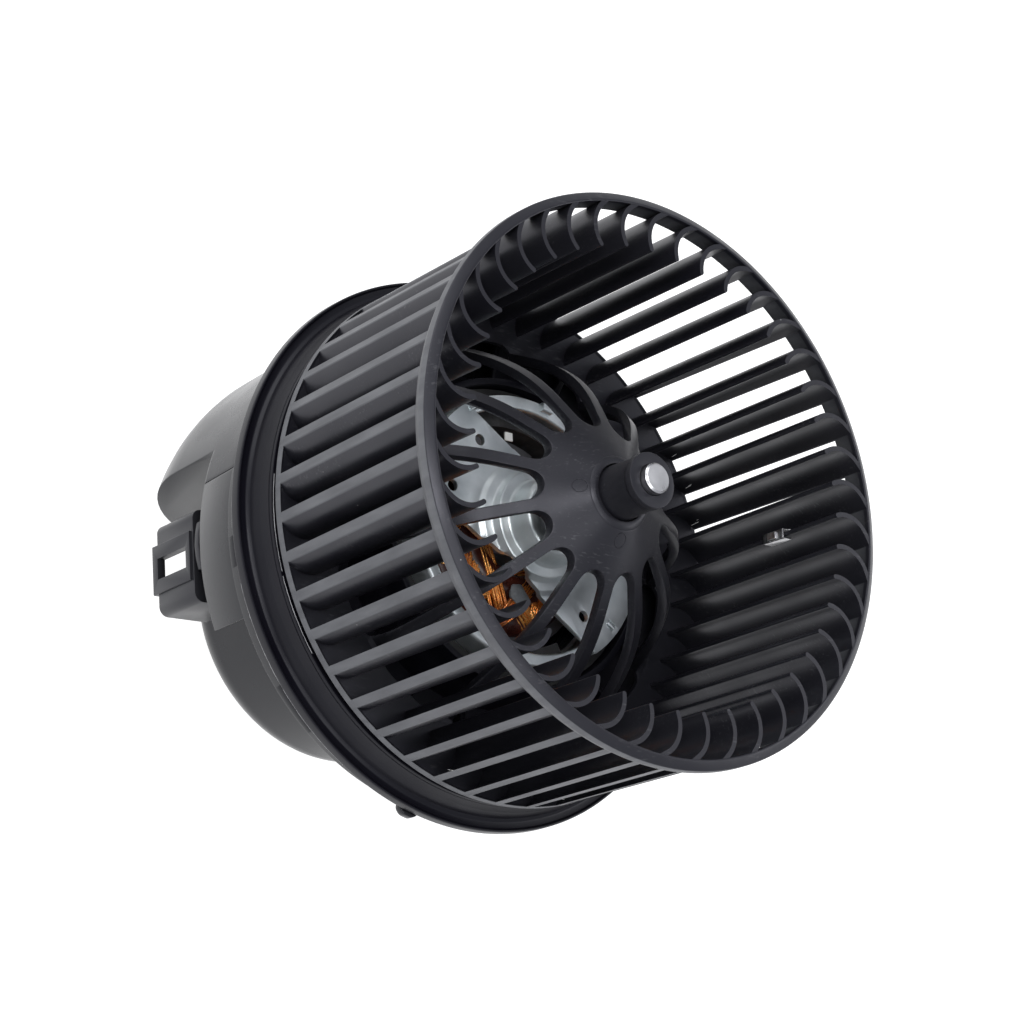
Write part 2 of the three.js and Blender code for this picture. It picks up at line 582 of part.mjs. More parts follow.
// ---- assembly ----
add('fan_wheel', fanWheel(), FINISH.wheel);
add('balance_clip', balanceClip(), FINISH.steel);
add('motor_shaft', shaft(), FINISH.steel);
add('armature_core', armatureCore(), FINISH.laminations);
add('armature_winding', armatureWinding(), FINISH.copper);
add('commutator', commutator(), FINISH.copper);
add('front_thrust_washer', ring(SHAFT_R + GAP, 7, 99.6, 100.6, 24), FINISH.steel);
add('rear_thrust_washer', ring(SHAFT_R + GAP, 7, 22.4, 23.4, 24), FINISH.steel);
add('motor_can', motorCan(), FINISH.zinc);
add('front_end_plate', frontPlate(), FINISH.zinc);
add('front_bearing', bearing(101.2, 107.8), FINISH.bronze);
add('rear_bearing', bearing(13.2, 21.4), FINISH.bronze);
add('magnet_left', magnet(PLATE_ANGLE + 90), FINISH.magnet);
add('magnet_right', magnet(PLATE_ANGLE - 90), FINISH.magnet);
add('magnet_clip_upper', magnetClip(PLATE_ANGLE), FINISH.steel);
add('magnet_clip_lower', magnetClip(PLATE_ANGLE + 180), FINISH.steel);
add('brush_card', brushCard(), FINISH.card);
for (const [label, side] of [['a', 0], ['b', 180]]) {
  add(`brush_holder_${label}`, brushHolder(side), FINISH.brass);
  add(`brush_${label}`, brush(side), FINISH.carbon);
  add(`brush_spring_${label}`, brushSpring(side), FINISH.steel);
}
add('choke_a', choke(-12, -21), FINISH.copper);
add('choke_b', choke(12, -21), FINISH.copper);
add('capacitor', block(-6, 6, 18, 23, BRUSH_CARD_TOP + GAP, BRUSH_CARD_TOP + 8), FINISH.capacitor);
add('front_damper', ring(CAN_R + GAP, CAN_R + 4 - GAP, 82, 90, 48), FINISH.rubber);
add('rear_damper', ring(CAN_R + GAP, HOUSING_CUP_R - CUP_FLOOR - GAP, 24, 32, 48), FINISH.rubber);
add('mounting_flange', mountingFlange(), FINISH.flange);
add('motor_housing', motorHousing(), FINISH.housing);
add('cooling_duct_cover', ductCover(), FINISH.housing);
add('connector_shell', connectorShell(), FINISH.connector);
add('terminal_left', terminal(TERMINAL_X[0]), FINISH.brass);
add('terminal_right', terminal(TERMINAL_X[1]), FINISH.brass);

export default group;
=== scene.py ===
"""Looks of a heater blower: squirrel-cage wheel, brushed motor, mounting flange, housing and connector.

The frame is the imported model. +Z runs up the shaft, the connector points to -Y, and the blower
stands on z = 0. Sizes below are in millimetres and degrees, and become metres in the mesh helpers.
"""
import json
import math
import random

import bmesh
import bpy
from mathutils import Matrix, Vector


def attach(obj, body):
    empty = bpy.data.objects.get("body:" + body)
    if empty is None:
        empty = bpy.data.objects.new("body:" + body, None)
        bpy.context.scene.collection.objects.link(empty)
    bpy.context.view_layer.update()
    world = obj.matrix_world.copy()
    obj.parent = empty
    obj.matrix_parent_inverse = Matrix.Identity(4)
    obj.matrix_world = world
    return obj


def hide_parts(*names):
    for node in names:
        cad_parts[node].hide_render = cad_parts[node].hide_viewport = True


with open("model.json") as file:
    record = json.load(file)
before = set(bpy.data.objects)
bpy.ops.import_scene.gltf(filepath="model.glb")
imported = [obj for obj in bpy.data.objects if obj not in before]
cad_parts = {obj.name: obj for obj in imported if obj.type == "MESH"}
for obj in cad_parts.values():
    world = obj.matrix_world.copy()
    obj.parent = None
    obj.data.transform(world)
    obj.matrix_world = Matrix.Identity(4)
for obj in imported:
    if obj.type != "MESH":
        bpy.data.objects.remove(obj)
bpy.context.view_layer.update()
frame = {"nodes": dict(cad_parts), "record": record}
random.seed(7)

# ---- driving sizes, which follow the CAD model ----
RING_EDGE_Z = 150.0
WHEEL_TOP = 151.3
WHEEL_R = 75.5
BLADE_COUNT = 44
BLADE_TIP_ANGLE = -1.9
BLADE_OUTER_R = 73.0
BLADE_CENTRE = (64.3, -8.0)
BLADE_CURVE_R = 8.5
BLADE_FROM, BLADE_TO = 28.0, 110.3
BLADE_THICKNESS = 1.3
BLADE_ROOT_LAG = 4.4                  # a blade's outer edge trails its inner edge by about this
BALANCE_CLIP_BLADE = 11               # blade that carries the balance clip
BACK_PLATE_TOP = 85.8
BACK_PLATE_BOTTOM = 84.1
BACK_PLATE_R = 72.2
SPOKE_COUNT = 13
SPOKE_ANGLE = 3.05
SPOKE_HALF_WIDTH = 1.55
SLOT_INNER_R = 19.7
SLOT_CORNER_R = 5.0
HUB_RIM_R = 57.0
HUB_SLOPE = 0.64                      # fall of the cone near the boss
HUB_BEND_R = 28.0                     # the cone starts to curve down here
HUB_BEND_DROP = 19.5
HUB_FOOT_R = 55.0
HUB_THICKNESS = 2.5
HUB_TOP_R = 8.8
HUB_TOP_Z = 134.7
BOSS_R = 7.3
BOSS_TOP = 146.5
SHAFT_R = 4.0
SHAFT_TOP = 148.8
PLATE_TOP = 98.7
PLATE_ANGLE = 54.0                    # long axis of the bridge plate
PLATE_HALF_WIDTH = 14.4
PLATE_WAIST = 11.7
PLATE_END_R = 37.4
PLATE_HOLE_R = 27.3
PLATE_HOLE_ANGLE = 18.4               # of each hole from the long axis
SHEET = 1.5                           # pressed steel thickness
CORE_SLOTS = 12
CORE_R = 29.3
COIL_R = 26.2                         # where the coil heads leave the slots
COIL_SPAN = 122                       # degrees from the slot a coil leaves to the slot it enters
COIL_LAYERS = 3
STRANDS_PER_LAYER = 6
CAN_R = 37.4
CAN_TOP = 96.9
LIP_Z = 81.0
LIP_R = 70.9
RIM_TOP = 73.8
RIM_BOTTOM = 70.6
RIM_R = 76.6
SKIRT_R = 70.4
SKIRT_BOTTOM = 60.0
HOUSING_TOP = 70.3
WALL = 2.0
LUG_ANGLES = (101.5, 341.5)
LOCK_SLOTS = ((271, 278), (304.5, 316))
LOCK_BOTTOM, LOCK_TOP = 65.3, 69.6
ARC_WALL_BOTTOM = 45.2
ARC_WALL_START, ARC_WALL_END = 255.6, 289.0
CUP_R = 45.0
CUP_CORNER_R = 11
CUP_FLOOR = 2.4
DUCT_START, DUCT_END, DUCT_SEAM = 150.0, 247.0, 255.0
DUCT_R = 68.5
DUCT_INNER_R = 45.9
DUCT_BEND_Z = 26
DUCT_FOOT_R = 50
DUCT_BOTTOM = 1.3
CONNECTOR_FACE_Y = -66.3
CONNECTOR_DEPTH = 15
CONNECTOR_HALF_WIDTH = 12.75
CONNECTOR_MOUTH_Z = 20.5
CONNECTOR_TOP = 40.0


# ---- mesh helpers ----
MICRON = 0.000001


def point(r, degrees, z):
    """Place in metres of a radius, an angle and a height."""
    a = math.radians(degrees)
    return Vector((r * math.cos(a), r * math.sin(a), z)) / 1000


def place_mesh(name, mesh):
    obj = bpy.data.objects.new(name, mesh)
    bpy.context.scene.collection.objects.link(obj)
    return obj


def new_object(name, vertices, faces, smooth_below=35):
    mesh = bpy.data.meshes.new(name)
    mesh.from_pydata([tuple(v) for v in vertices], [], faces)
    mesh.validate()
    bm = bmesh.new()
    bm.from_mesh(mesh)
    bmesh.ops.recalc_face_normals(bm, faces=bm.faces)
    bm.to_mesh(mesh)
    bm.free()
    obj = place_mesh(name, mesh)
    shade(obj, smooth_below)
    return obj


def shade(obj, smooth_below=35):
    """Smooth shading, with edges sharper than the angle kept crisp."""
    mesh = obj.data
    bm = bmesh.new()
    bm.from_mesh(mesh)
    limit = math.radians(smooth_below)
    for face in bm.faces:
        face.smooth = True
    for edge in bm.edges:
        edge.smooth = len(edge.link_faces) == 2 and edge.calc_face_angle(0) < limit
    bm.to_mesh(mesh)
    bm.free()


def arc(cx, cy, r, start, end, steps):
    """Points on a circle from the start angle to the end angle, both included."""
    points = []
    for i in range(steps + 1):
        a = math.radians(start + (end - start) * i / steps)
        points.append((cx + r * math.cos(a), cy + r * math.sin(a)))
    return points


def rounded(outline, radius, steps=3):
    """Rounds every corner of a closed (x, y) outline."""
    count = len(outline)
    result = []
    for i in range(count):
        before, here, after = (Vector(outline[j % count]) for j in (i - 1, i, i + 1))
        to_before, to_after = before - here, after - here
        cut = min(radius, 0.45 * to_before.length, 0.45 * to_after.length)
        a = here + to_before.normalized() * cut
        b = here + to_after.normalized() * cut
        for k in range(steps + 1):
            t = k / steps
            p = a * (1 - t) ** 2 + here * 2 * t * (1 - t) + b * t ** 2
            result.append((p.x, p.y))
    return result


def lathe(name, outline, segments=144, start=0, end=360, smooth_below=35):
    """Turns a closed (radius, height) outline about the shaft axis, all the way or from start to end."""
    full = end - start >= 360
    columns = segments if full else segments + 1
    count = len(outline)
    vertices = []
    for i in range(columns):
        degrees = start + (end - start) * i / segments
        vertices += [point(r, degrees, z) for r, z in outline]
    faces = []
    for i in range(segments):
        j = (i + 1) % columns
        for k in range(count):
            m = (k + 1) % count
            faces.append((i * count + k, j * count + k, j * count + m, i * count + m))
    if not full:
        faces.append(tuple(range(count)))
        faces.append(tuple(reversed(range((columns - 1) * count, columns * count))))
    return new_object(name, vertices, faces, smooth_below)


def prism(name, outline, bottom, top, smooth_below=35):
    """Raises a closed (x, y) outline from the bottom height to the top height."""
    count = len(outline)
    vertices = [(x / 1000, y / 1000, z / 1000) for z in (bottom, top) for x, y in outline]
    faces = [tuple(reversed(range(count))), tuple(range(count, 2 * count))]
    for k in range(count):
        m = (k + 1) % count
        faces.append((k, m, count + m, count + k))
    return new_object(name, vertices, faces, smooth_below)


def block(name, x0, x1, y0, y1, z0, z1):
    """Plain box between two corners."""
    return prism(name, [(x0, y0), (x1, y0), (x1, y1), (x0, y1)], z0, z1)


def turn(obj, degrees):
    obj.data.transform(Matrix.Rotation(math.radians(degrees), 4, "Z"))
    return obj


def shift(obj, x, y, z):
    obj.data.transform(Matrix.Translation(Vector((x, y, z)) / 1000))
    return obj


def settle(obj):
    """Makes the result of the object's modifiers its mesh."""
    graph = bpy.context.evaluated_depsgraph_get()
    mesh = bpy.data.meshes.new_from_object(obj.evaluated_get(graph))
    obj.modifiers.clear()
    obj.data = mesh
    return obj


def combine(obj, other, operation):
    modifier = obj.modifiers.new("combine", "BOOLEAN")
    modifier.operation = operation
    modifier.solver = "EXACT"
    modifier.object = other
    settle(obj)
    bpy.data.objects.remove(other)
    return obj


def soften(obj, width, segments=2, angle=32):
    """Rounds the edges that are sharper than the angle, as moulded and pressed edges are."""
    bm = bmesh.new()
    bm.from_mesh(obj.data)
    bmesh.ops.remove_doubles(bm, verts=bm.verts, dist=MICRON)
    bmesh.ops.dissolve_degenerate(bm, edges=bm.edges, dist=MICRON)
    bm.to_mesh(obj.data)
    bm.free()
    modifier = obj.modifiers.new("soften", "BEVEL")
    modifier.width = width / 1000
    modifier.segments = segments
    modifier.limit_method = "ANGLE"
    modifier.angle_limit = math.radians(angle)
    modifier.miter_outer = "MITER_ARC"
    settle(obj)
    shade(obj, 50)
    return obj


def join(name, objects):
    """One object from several meshes."""
    bm = bmesh.new()
    for obj in objects:
        bm.from_mesh(obj.data)
    mesh = bpy.data.meshes.new(name)
    bm.to_mesh(mesh)
    bm.free()
    for obj in objects:
        bpy.data.objects.remove(obj)
    return place_mesh(name, mesh)


def wire(name, paths, radius, closed=False, sides=8):
    """Round wire along several paths of points in metres, as one mesh."""
    vertices, faces = [], []
    for path in paths:
        base = len(vertices)
        count = len(path)
        for i, here in enumerate(path):
            before = path[i - 1] if (i or closed) else here
            after = path[(i + 1) % count] if (i + 1 < count or closed) else here
            along = (after - before).normalized()
            side = along.cross(Vector((0, 0, 1)))
            if side.length < 0.2:
                side = along.cross(Vector((1, 0, 0)))
            side.normalize()
            up = side.cross(along)
            for k in range(sides):
                a = 2 * math.pi * k / sides
                offset = side * math.cos(a) + up * math.sin(a)
                vertices.append(here + offset * radius / 1000)
        rows = count if closed else count - 1
        for i in range(rows):
            j = (i + 1) % count
            for k in range(sides):
                m = (k + 1) % sides
                faces.append((base + i * sides + k, base + i * sides + m,
                              base + j * sides + m, base + j * sides + k))
        if not closed:
            faces.append(tuple(base + k for k in reversed(range(sides))))
            faces.append(tuple(base + (count - 1) * sides + k for k in range(sides)))
    return new_object(name, vertices, faces, 80)


# ---- materials ----
DUST = (0.5, 0.5, 0.5)
DUST_SCALE, DUST_SIZE = 260, 0.06     # specks for each metre, and their size as a share of their spacing


class Nodes:
    """Short names for the nodes that the materials below are made of."""
    MIX_A, MIX_B, MIX_RESULT = 6, 7, 2    # colour sockets of a Mix node

    def __init__(self, name):
        self.material = bpy.data.materials.new(name)
        self.material.use_nodes = True
        self.tree = self.material.node_tree
        self.shader = self.tree.nodes["Principled BSDF"]
        self.place = self.tree.nodes.new("ShaderNodeTexCoord").outputs["Object"]

    def link(self, source, target):
        self.tree.links.new(source, target)

    def noise(self, scale, detail=3.0, stretch=None, roughness=0.5):
        node = self.tree.nodes.new("ShaderNodeTexNoise")
        node.inputs["Scale"].default_value = scale
        node.inputs["Detail"].default_value = detail
        node.inputs["Roughness"].default_value = roughness
        source = self.place
        if stretch:
            mapping = self.tree.nodes.new("ShaderNodeMapping")
            mapping.inputs["Scale"].default_value = stretch
            self.link(self.place, mapping.inputs["Vector"])
            source = mapping.outputs["Vector"]
        self.link(source, node.inputs["Vector"])
        return node.outputs["Fac"]

    def cells(self, scale):
        node = self.tree.nodes.new("ShaderNodeTexVoronoi")
        node.inputs["Scale"].default_value = scale
        self.link(self.place, node.inputs["Vector"])
        return node

    def from_axis(self):
        """Distance from the shaft axis."""
        flat = self.tree.nodes.new("ShaderNodeMapping")
        flat.inputs["Scale"].default_value = (1, 1, 0)
        length = self.tree.nodes.new("ShaderNodeVectorMath")
        length.operation = "LENGTH"
        self.link(self.place, flat.inputs["Vector"])
        self.link(flat.outputs["Vector"], length.inputs[0])
        return length.outputs["Value"]

    def height(self):
        node = self.tree.nodes.new("ShaderNodeSeparateXYZ")
        self.link(self.place, node.inputs["Vector"])
        return node.outputs["Z"]

    def ramp(self, source, stops):
        node = self.tree.nodes.new("ShaderNodeValToRGB")
        elements = node.color_ramp.elements
        while len(elements) < len(stops):
            elements.new(0.5)
        for element, (position, colour) in zip(elements, stops):
            element.position = position
            element.color = (*colour, 1)
        self.link(source, node.inputs["Fac"])
        return node.outputs["Color"]

    def spread(self, source, low, high, from_low=0.3, from_high=0.7):
        """Carries from_low..from_high over to low..high, and holds the ends."""
        node = self.tree.nodes.new("ShaderNodeMapRange")
        node.inputs["From Min"].default_value = from_low
        node.inputs["From Max"].default_value = from_high
        node.inputs["To Min"].default_value = low
        node.inputs["To Max"].default_value = high
        self.link(source, node.inputs["Value"])
        return node.outputs["Result"]

    def maths(self, operation, a, b):
        node = self.tree.nodes.new("ShaderNodeMath")
        node.operation = operation
        for socket, value in zip(node.inputs, (a, b)):
            if isinstance(value, (int, float)):
                socket.default_value = value
            else:
                self.link(value, socket)
        return node.outputs[0]

    def mix(self, factor, a, b):
        node = self.tree.nodes.new("ShaderNodeMix")
        node.data_type = "RGBA"
        self.link(factor, node.inputs["Factor"])
        for socket, value in ((node.inputs[self.MIX_A], a), (node.inputs[self.MIX_B], b)):
            if isinstance(value, tuple):
                socket.default_value = (*value, 1)
            else:
                self.link(value, socket)
        return node.outputs[self.MIX_RESULT]

    def bump(self, height, strength, distance):
        node = self.tree.nodes.new("ShaderNodeBump")
        node.inputs["Strength"].default_value = strength
        node.inputs["Distance"].default_value = distance
        self.link(height, node.inputs["Height"])
        self.link(node.outputs["Normal"], self.shader.inputs["Normal"])

    def colour(self, source):
        self.link(source, self.shader.inputs["Base Color"])

    def rough(self, source):
        self.link(source, self.shader.inputs["Roughness"])


def specks(nodes):
    """1 in a few small round specks of dust, 0 elsewhere."""
    cells = nodes.cells(DUST_SCALE)
    near = nodes.spread(cells.outputs["Distance"], 1, 0, DUST_SIZE * 0.5, DUST_SIZE)
    separate = nodes.tree.nodes.new("ShaderNodeSeparateColor")
    nodes.link(cells.outputs["Color"], separate.inputs["Color"])
    chosen = nodes.maths("GREATER_THAN", separate.outputs[0], 0.93)
    return nodes.maths("MULTIPLY", near, chosen)


def plastic(name, dark, light, rough, gloss=0.5, dust=0.0, grain=0.12, coat=0.0):
    """Moulded black plastic: faint cloudiness, a fine moulded grain and a little dust."""
    n = Nodes(name)
    clouds = n.ramp(n.noise(28, 4), [(0.35, dark), (0.7, light)])
    if dust:
        clouds = n.mix(n.maths("MULTIPLY", specks(n), dust), clouds, DUST)
    n.colour(clouds)
    n.rough(n.spread(n.noise(60, 5), rough - 0.05, rough + 0.07))
    n.bump(n.noise(2600, 2), grain, 0.0001)
    n.shader.inputs["Specular IOR Level"].default_value = gloss
    n.shader.inputs["Specular Tint"].default_value = (0.92, 0.93, 1.0, 1)
    n.shader.inputs["Coat Weight"].default_value = coat
    n.shader.inputs["Coat Roughness"].default_value = 0.12
    return n.material


def wheel_plastic(name):
    """Black polypropylene, paler where the blades' outer edges are cut flush with the wheel's taper: a
    painted highlight on these outward faces, which are also rougher.
    """
    n = Nodes(name)
    clouds = n.ramp(n.noise(28, 4), [(0.35, (0.0080, 0.0080, 0.0110)), (0.7, (0.0130, 0.0130, 0.0162))])
    clouds = n.mix(n.maths("MULTIPLY", specks(n), 0.45), clouds, DUST)
    slope = (BLADE_OUTER_R - BACK_PLATE_R) / (WHEEL_TOP - BACK_PLATE_TOP)
    taper = n.maths("SUBTRACT", n.from_axis(), n.maths("MULTIPLY", n.height(), slope))
    surface = (BACK_PLATE_R - slope * BACK_PLATE_TOP) / 1000
    # painted highlight: faces at or outside the wheel's taper below the ring edge (the blades' cut outer
    # lands and the ring's outer wall) turn paler, as if lit from outside; the same mask also makes them
    # rougher
    cut = n.maths("MULTIPLY", n.spread(taper, 0, 1, surface - 0.0003, surface - 0.0001),
                  n.maths("LESS_THAN", n.height(), (RING_EDGE_Z - 0.1) / 1000))
    streaks = n.spread(n.noise(420, 4, (1, 1, 0.2)), 0.6, 1.0)
    edge = n.maths("MULTIPLY", cut, streaks)
    scuffs = n.maths("MULTIPLY", n.spread(n.noise(1500, 3, (1, 0.2, 1)), 0, 1, 0.58, 0.75),
                     n.spread(n.noise(45, 3), 0, 0.1, 0.48, 0.6))
    clouds = n.mix(scuffs, clouds, (0.34, 0.34, 0.35))
    # mixes in the pale painted highlight on those outward faces
    n.colour(n.mix(edge, clouds, (0.090, 0.093, 0.099)))
    n.rough(n.maths("ADD", n.spread(n.noise(60, 5), 0.31, 0.45), n.maths("MULTIPLY", cut, 0.14)))
    n.bump(n.noise(2600, 2), 0.12, 0.0001)
    n.shader.inputs["Specular IOR Level"].default_value = 0.42
    n.shader.inputs["Specular Tint"].default_value = (0.90, 0.90, 1.0, 1)
    return n.material


def sheet_metal(name, dark, light, rough, blotch=90):
    """Plated steel or brass sheet: soft blotches, fine scratches and a slight unevenness."""
    n = Nodes(name)
    blotches = n.noise(blotch, 5)
    n.colour(n.ramp(blotches, [(0.3, dark), (0.72, light)]))
    scratches = n.noise(300, 4, (1, 9, 1))
    n.rough(n.spread(n.maths("ADD", n.maths("MULTIPLY", blotches, 0.6),
                             n.maths("MULTIPLY", scratches, 0.4)), rough - 0.09, rough + 0.13))
    n.bump(n.noise(700, 3), 0.05, 0.0001)
    n.shader.inputs["Metallic"].default_value = 1.0
    return n.material


def turned_steel(name, dark, light, rough):
    """Steel turned or ground round its axis: fine rings along the shaft."""
    n = Nodes(name)
    rings = n.noise(900, 3, (0.15, 0.15, 6))
    n.colour(n.ramp(rings, [(0.3, dark), (0.7, light)]))
    n.rough(n.spread(rings, rough - 0.06, rough + 0.08))
    n.bump(rings, 0.02, 0.00002)
    n.shader.inputs["Metallic"].default_value = 1.0
    return n.material


def enamelled_copper(name):
    """Enamelled winding wire: orange brown that darkens in patches where the resin is thick."""
    n = Nodes(name)
    patches = n.noise(130, 4)
    n.colour(n.ramp(patches, [(0.3, (0.46, 0.12, 0.028)), (0.5, (0.84, 0.30, 0.06)),
                              (0.7, (1.0, 0.50, 0.14))]))
    n.rough(n.spread(n.noise(400, 3), 0.2, 0.33))
    n.bump(n.noise(900, 2), 0.05, 0.0001)
    n.shader.inputs["Metallic"].default_value = 0.75
    n.shader.inputs["Coat Weight"].default_value = 0.6
    return n.material


def stack_steel(name):
    """Edges of stacked laminations: fine dark lines every half millimetre along the shaft."""
    n = Nodes(name)
    lines = n.noise(500, 2, (0.05, 0.05, 4))
    n.colour(n.ramp(lines, [(0.35, (0.05, 0.05, 0.055)), (0.6, (0.2, 0.2, 0.21))]))
    n.rough(n.spread(lines, 0.4, 0.6))
    n.bump(lines, 0.2, 0.0002)
    n.shader.inputs["Metallic"].default_value = 0.8
    return n.material


def grainy(name, dark, light, rough, scale=350, metallic=0.0, bump=0.15):
    """Ferrite, carbon, card, rubber and sintered metal: a close speckled grain."""
    n = Nodes(name)
    grain = n.noise(scale, 5, roughness=0.65)
    n.colour(n.ramp(grain, [(0.35, dark), (0.65, light)]))
    n.rough(n.spread(grain, rough - 0.08, rough + 0.08))
    n.bump(grain, bump, 0.0001)
    n.shader.inputs["Metallic"].default_value = metallic
    return n.material


def pale_floor(name):
    """Smooth studio paper, very slightly uneven."""
    n = Nodes(name)
    n.colour(n.ramp(n.noise(3, 3), [(0.3, (0.36, 0.36, 0.36)), (0.7, (0.40, 0.40, 0.40))]))
    n.rough(n.spread(n.noise(40, 3), 0.75, 0.85))
    n.shader.inputs["Specular IOR Level"].default_value = 0.1
    n.shader.inputs["Emission Color"].default_value = (1, 1, 1, 1)
    n.shader.inputs["Emission Strength"].default_value = 0.95
    return n.material


FINISH = {
    "wheel_plastic": wheel_plastic("wheel_plastic"),
    "flange_plastic": plastic("flange_plastic", (0.0030, 0.0028, 0.0052), (0.0052, 0.0050, 0.0080), 0.34,
                              gloss=0.24, dust=0.3),
    "housing_plastic": plastic("housing_plastic", (0.0080, 0.0083, 0.0100), (0.0100, 0.0103, 0.0120), 0.24,
                               gloss=0.26, grain=0.03, coat=0.07),
    "connector_plastic": plastic("connector_plastic", (0.0110, 0.0112, 0.0135), (0.0150, 0.0152, 0.0175),
                                 0.38, gloss=0.42, dust=0.1),
    "zinc_plated_steel": sheet_metal("zinc_plated_steel", (0.56, 0.62, 0.64), (0.93, 0.97, 0.98), 0.42,
                                     blotch=70),
    "ground_steel": turned_steel("ground_steel", (0.42, 0.42, 0.43), (0.66, 0.66, 0.67), 0.3),
    "spring_steel": turned_steel("spring_steel", (0.35, 0.35, 0.36), (0.6, 0.6, 0.61), 0.3),
    "lamination_steel": stack_steel("lamination_steel"),
    "enamelled_copper": enamelled_copper("enamelled_copper"),
    "commutator_copper": turned_steel("commutator_copper", (0.35, 0.13, 0.05), (0.6, 0.28, 0.13), 0.3),
    "sintered_bronze": grainy("sintered_bronze", (0.10, 0.065, 0.035), (0.24, 0.16, 0.09), 0.45, 900, 0.85),
    "brass_sheet": sheet_metal("brass_sheet", (0.4, 0.27, 0.09), (0.62, 0.45, 0.18), 0.3),
    "ferrite": grainy("ferrite", (0.02, 0.02, 0.021), (0.045, 0.045, 0.047), 0.6),
    "carbon": grainy("carbon", (0.012, 0.012, 0.012), (0.035, 0.035, 0.035), 0.6, 700),
    "phenolic_card": grainy("phenolic_card", (0.06, 0.022, 0.010), (0.14, 0.055, 0.025), 0.5),
    "capacitor_coat": grainy("capacitor_coat", (0.01, 0.06, 0.16), (0.02, 0.10, 0.24), 0.3, 200),
    "damper_rubber": grainy("damper_rubber", (0.008, 0.008, 0.008), (0.02, 0.02, 0.02), 0.75, 500),
}
RESIN = grainy("winding_resin", (0.018, 0.005, 0.004), (0.075, 0.017, 0.010), 0.26, 90)
PUTTY = grainy("balance_putty", (0.10, 0.11, 0.12), (0.17, 0.18, 0.19), 0.7, 300)
# near-white for painted glints on the flash slivers and a painted highlight on the slip under the bridge
# plate
GLINT_WHITE = grainy("glint_white", (0.86, 0.86, 0.84), (0.95, 0.95, 0.93), 0.7, 300)
# pale grey for painted highlights along the flange's rim and lip edges
EDGE_HIGHLIGHT = grainy("flange_edge_highlight", (0.16, 0.16, 0.17), (0.42, 0.42, 0.43), 0.4, 160)


def finish_piece(obj, body, slot, replaces=(), material=None):
    """Gives a piece its material and body, and hides the CAD nodes it stands for."""
    obj.data.materials.clear()
    obj.data.materials.append(material or FINISH[slot])
    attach(obj, body)
    if replaces:
        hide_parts(*replaces)
    return obj


# ---- wheel ----
def blade_side(radius, outer_r):
    """One face of a blade: a straight run in from the wheel's surface, then an arc to the inner edge."""
    cx, cy = BLADE_CENTRE
    start = BLADE_FROM
    while math.hypot(*arc(cx, cy, radius, start, start, 1)[0]) > outer_r - 0.05:
        start += 0.5
    curve = arc(cx, cy, radius, start, BLADE_TO, 12)
    x, y = curve[0]
    along = math.sin(math.radians(start)), -math.cos(math.radians(start))
    reach = x * along[0] + y * along[1]
    length = -reach + math.sqrt(reach ** 2 - (x * x + y * y) + outer_r ** 2)
    return [(x + length * along[0], y + length * along[1])] + curve


def blade_section(outer_r):
    """Outline of a blade across the shaft, with a round inner edge and a cut outer edge."""
    cx, cy = BLADE_CENTRE
    half = BLADE_THICKNESS / 2
    tip_x, tip_y = arc(cx, cy, BLADE_CURVE_R, BLADE_TO, BLADE_TO, 1)[0]
    tip = arc(tip_x, tip_y, half, BLADE_TO, BLADE_TO + 180, 6)[1:-1]
    return blade_side(BLADE_CURVE_R + half, outer_r) + tip + blade_side(BLADE_CURVE_R - half, outer_r)[::-1]


def blades():
    """Straight blades, a touch narrower at the back plate than at the inlet ring."""
    levels = [(BACK_PLATE_TOP - 0.6, BACK_PLATE_R - 0.02), (WHEEL_TOP - 0.15, BLADE_OUTER_R)]
    sections = [blade_section(outer_r) for _, outer_r in levels]
    count = len(sections[0])
    vertices = []
    for (z, _), section in zip(levels, sections):
        vertices += [(x / 1000, y / 1000, z / 1000) for x, y in section]
    faces = [tuple(reversed(range(count))), tuple(range(count, 2 * count))]
    for k in range(count):
        m = (k + 1) % count
        faces.append((k, m, count + m, count + k))
    first = new_object("blade", vertices, faces, 28)
    copies = []
    for i in range(BLADE_COUNT):
        copy = bpy.data.objects.new("blade_copy", first.data.copy())
        copies.append(turn(copy, BLADE_TIP_ANGLE + i * 360 / BLADE_COUNT))
    bpy.data.objects.remove(first)
    return join("blades", copies)


def inlet_ring():
    outline = rounded([
        (72.7, WHEEL_TOP - 0.05), (73.2, WHEEL_TOP), (WHEEL_R, RING_EDGE_Z), (WHEEL_R, RING_EDGE_Z - 2.3),
        (74.0, RING_EDGE_Z - 5.2), (72.9, RING_EDGE_Z - 5.2),
    ], 0.35)
    return lathe("inlet_ring", outline, 264)


def back_plate():
    outline = rounded([
        (HUB_RIM_R - 0.2, BACK_PLATE_TOP), (BACK_PLATE_R - 0.8, BACK_PLATE_TOP),
        (BACK_PLATE_R, BACK_PLATE_TOP + 0.5), (BACK_PLATE_R, BACK_PLATE_BOTTOM),
        (HUB_RIM_R - 0.2, BACK_PLATE_BOTTOM),
    ], 0.12)
    return lathe("back_plate", outline, 264)


def hub_height(r):
    """The cone falls evenly near the boss and then curves down to the back plate."""
    bend = max(0.0, (r - HUB_BEND_R) / (HUB_FOOT_R - HUB_BEND_R))
    return HUB_TOP_Z - HUB_SLOPE * (r - HUB_TOP_R) - HUB_BEND_DROP * bend ** 2.5


def under_hub(r, thickness):
    """Point on the underside of the cone, square below the upper side at radius r."""
    slope = (hub_height(r + 0.1) - hub_height(r - 0.1)) / 0.2
    length = math.hypot(1, slope)
    return r + thickness * slope / length, hub_height(r) - thickness / length


